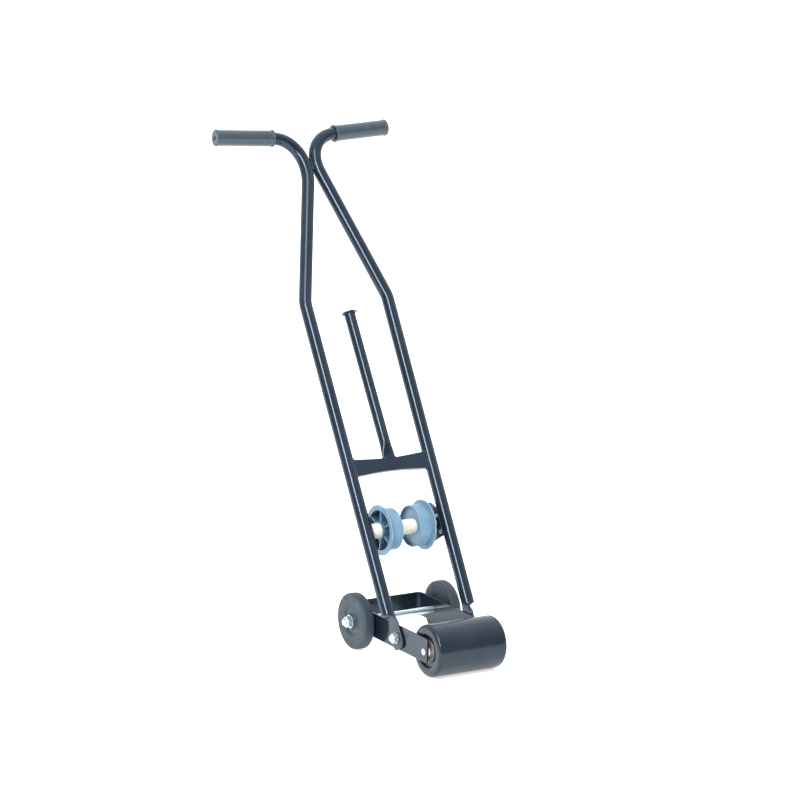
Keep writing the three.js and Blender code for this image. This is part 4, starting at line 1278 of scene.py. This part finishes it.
def area_light(name, location, target, size, power):
    data = bpy.data.lights.new(name, "AREA")
    data.shape = "RECTANGLE"
    data.size, data.size_y = size
    data.energy = power
    lamp = bpy.data.objects.new(name, data)
    lamp.location = location
    lamp.rotation_euler = (Vector(target) - Vector(location)).to_track_quat("-Z", "Y").to_euler()
    bpy.context.scene.collection.objects.link(lamp)


BRIGHTEST = Vector((0.3, 0.55, 0.8))


def light():
    """A soft studio: brightest above and behind, with a tall key and a crown light on the left."""
    world = bpy.data.worlds.new("studio")
    world.use_nodes = True
    tree = world.node_tree
    background = tree.nodes["Background"]
    background.inputs["Color"].default_value = (0.90, 0.965, 1.0, 1)
    direction = tree.nodes.new("ShaderNodeTexCoord")
    facing = tree.nodes.new("ShaderNodeVectorMath")
    facing.operation = "DOT_PRODUCT"
    facing.inputs[1].default_value = BRIGHTEST.normalized()
    dome = tree.nodes.new("ShaderNodeMapRange")
    dome.inputs["From Min"].default_value = -0.3
    dome.inputs["From Max"].default_value = 1.0
    dome.inputs["To Min"].default_value = 0.14
    dome.inputs["To Max"].default_value = 2.1
    tree.links.new(direction.outputs["Generated"], facing.inputs[0])
    tree.links.new(facing.outputs["Value"], dome.inputs["Value"])
    tree.links.new(dome.outputs["Result"], background.inputs["Strength"])
    bpy.context.scene.world = world
    area_light("key", (-1.95, -1.7, 2.05), (0, 0, 0.4), (0.8, 1.9), 105)
    area_light("crown", (-1.1, -0.9, 3.0), (0, 0.1, 0.7), (1.1, 1.1), 30)


CAMERA_AZIMUTH = math.radians(-31.60)
CAMERA_ELEVATION = math.radians(12.56)
CAMERA_ROLL = math.radians(1.32)
CAMERA_DISTANCE = 5.9975
CAMERA_TARGET = Vector((0.0746, AXLE.y * MM + 0.1362, 0.4102))
CAMERA_LENS = 148.44
CAMERA_SENSOR_WIDTH = 36


def camera():
    data = bpy.data.cameras.new("camera")
    data.lens = CAMERA_LENS
    data.sensor_width = CAMERA_SENSOR_WIDTH
    data.clip_end = 60
    obj = bpy.data.objects.new("camera", data)
    back = Vector((
        math.sin(CAMERA_AZIMUTH) * math.cos(CAMERA_ELEVATION),
        -math.cos(CAMERA_AZIMUTH) * math.cos(CAMERA_ELEVATION),
        math.sin(CAMERA_ELEVATION),
    ))
    right = Vector((math.cos(CAMERA_AZIMUTH), math.sin(CAMERA_AZIMUTH), 0))
    up = back.cross(right)
    rolled_right = right * math.cos(CAMERA_ROLL) + up * math.sin(CAMERA_ROLL)
    rolled_up = up * math.cos(CAMERA_ROLL) - right * math.sin(CAMERA_ROLL)
    place = Matrix((rolled_right, rolled_up, back)).transposed().to_4x4()
    place.translation = CAMERA_TARGET + back * CAMERA_DISTANCE
    obj.matrix_world = place
    bpy.context.scene.collection.objects.link(obj)
    bpy.context.scene.camera = obj


floor()
light()
camera()
bpy.context.scene.view_settings.view_transform = "Standard"
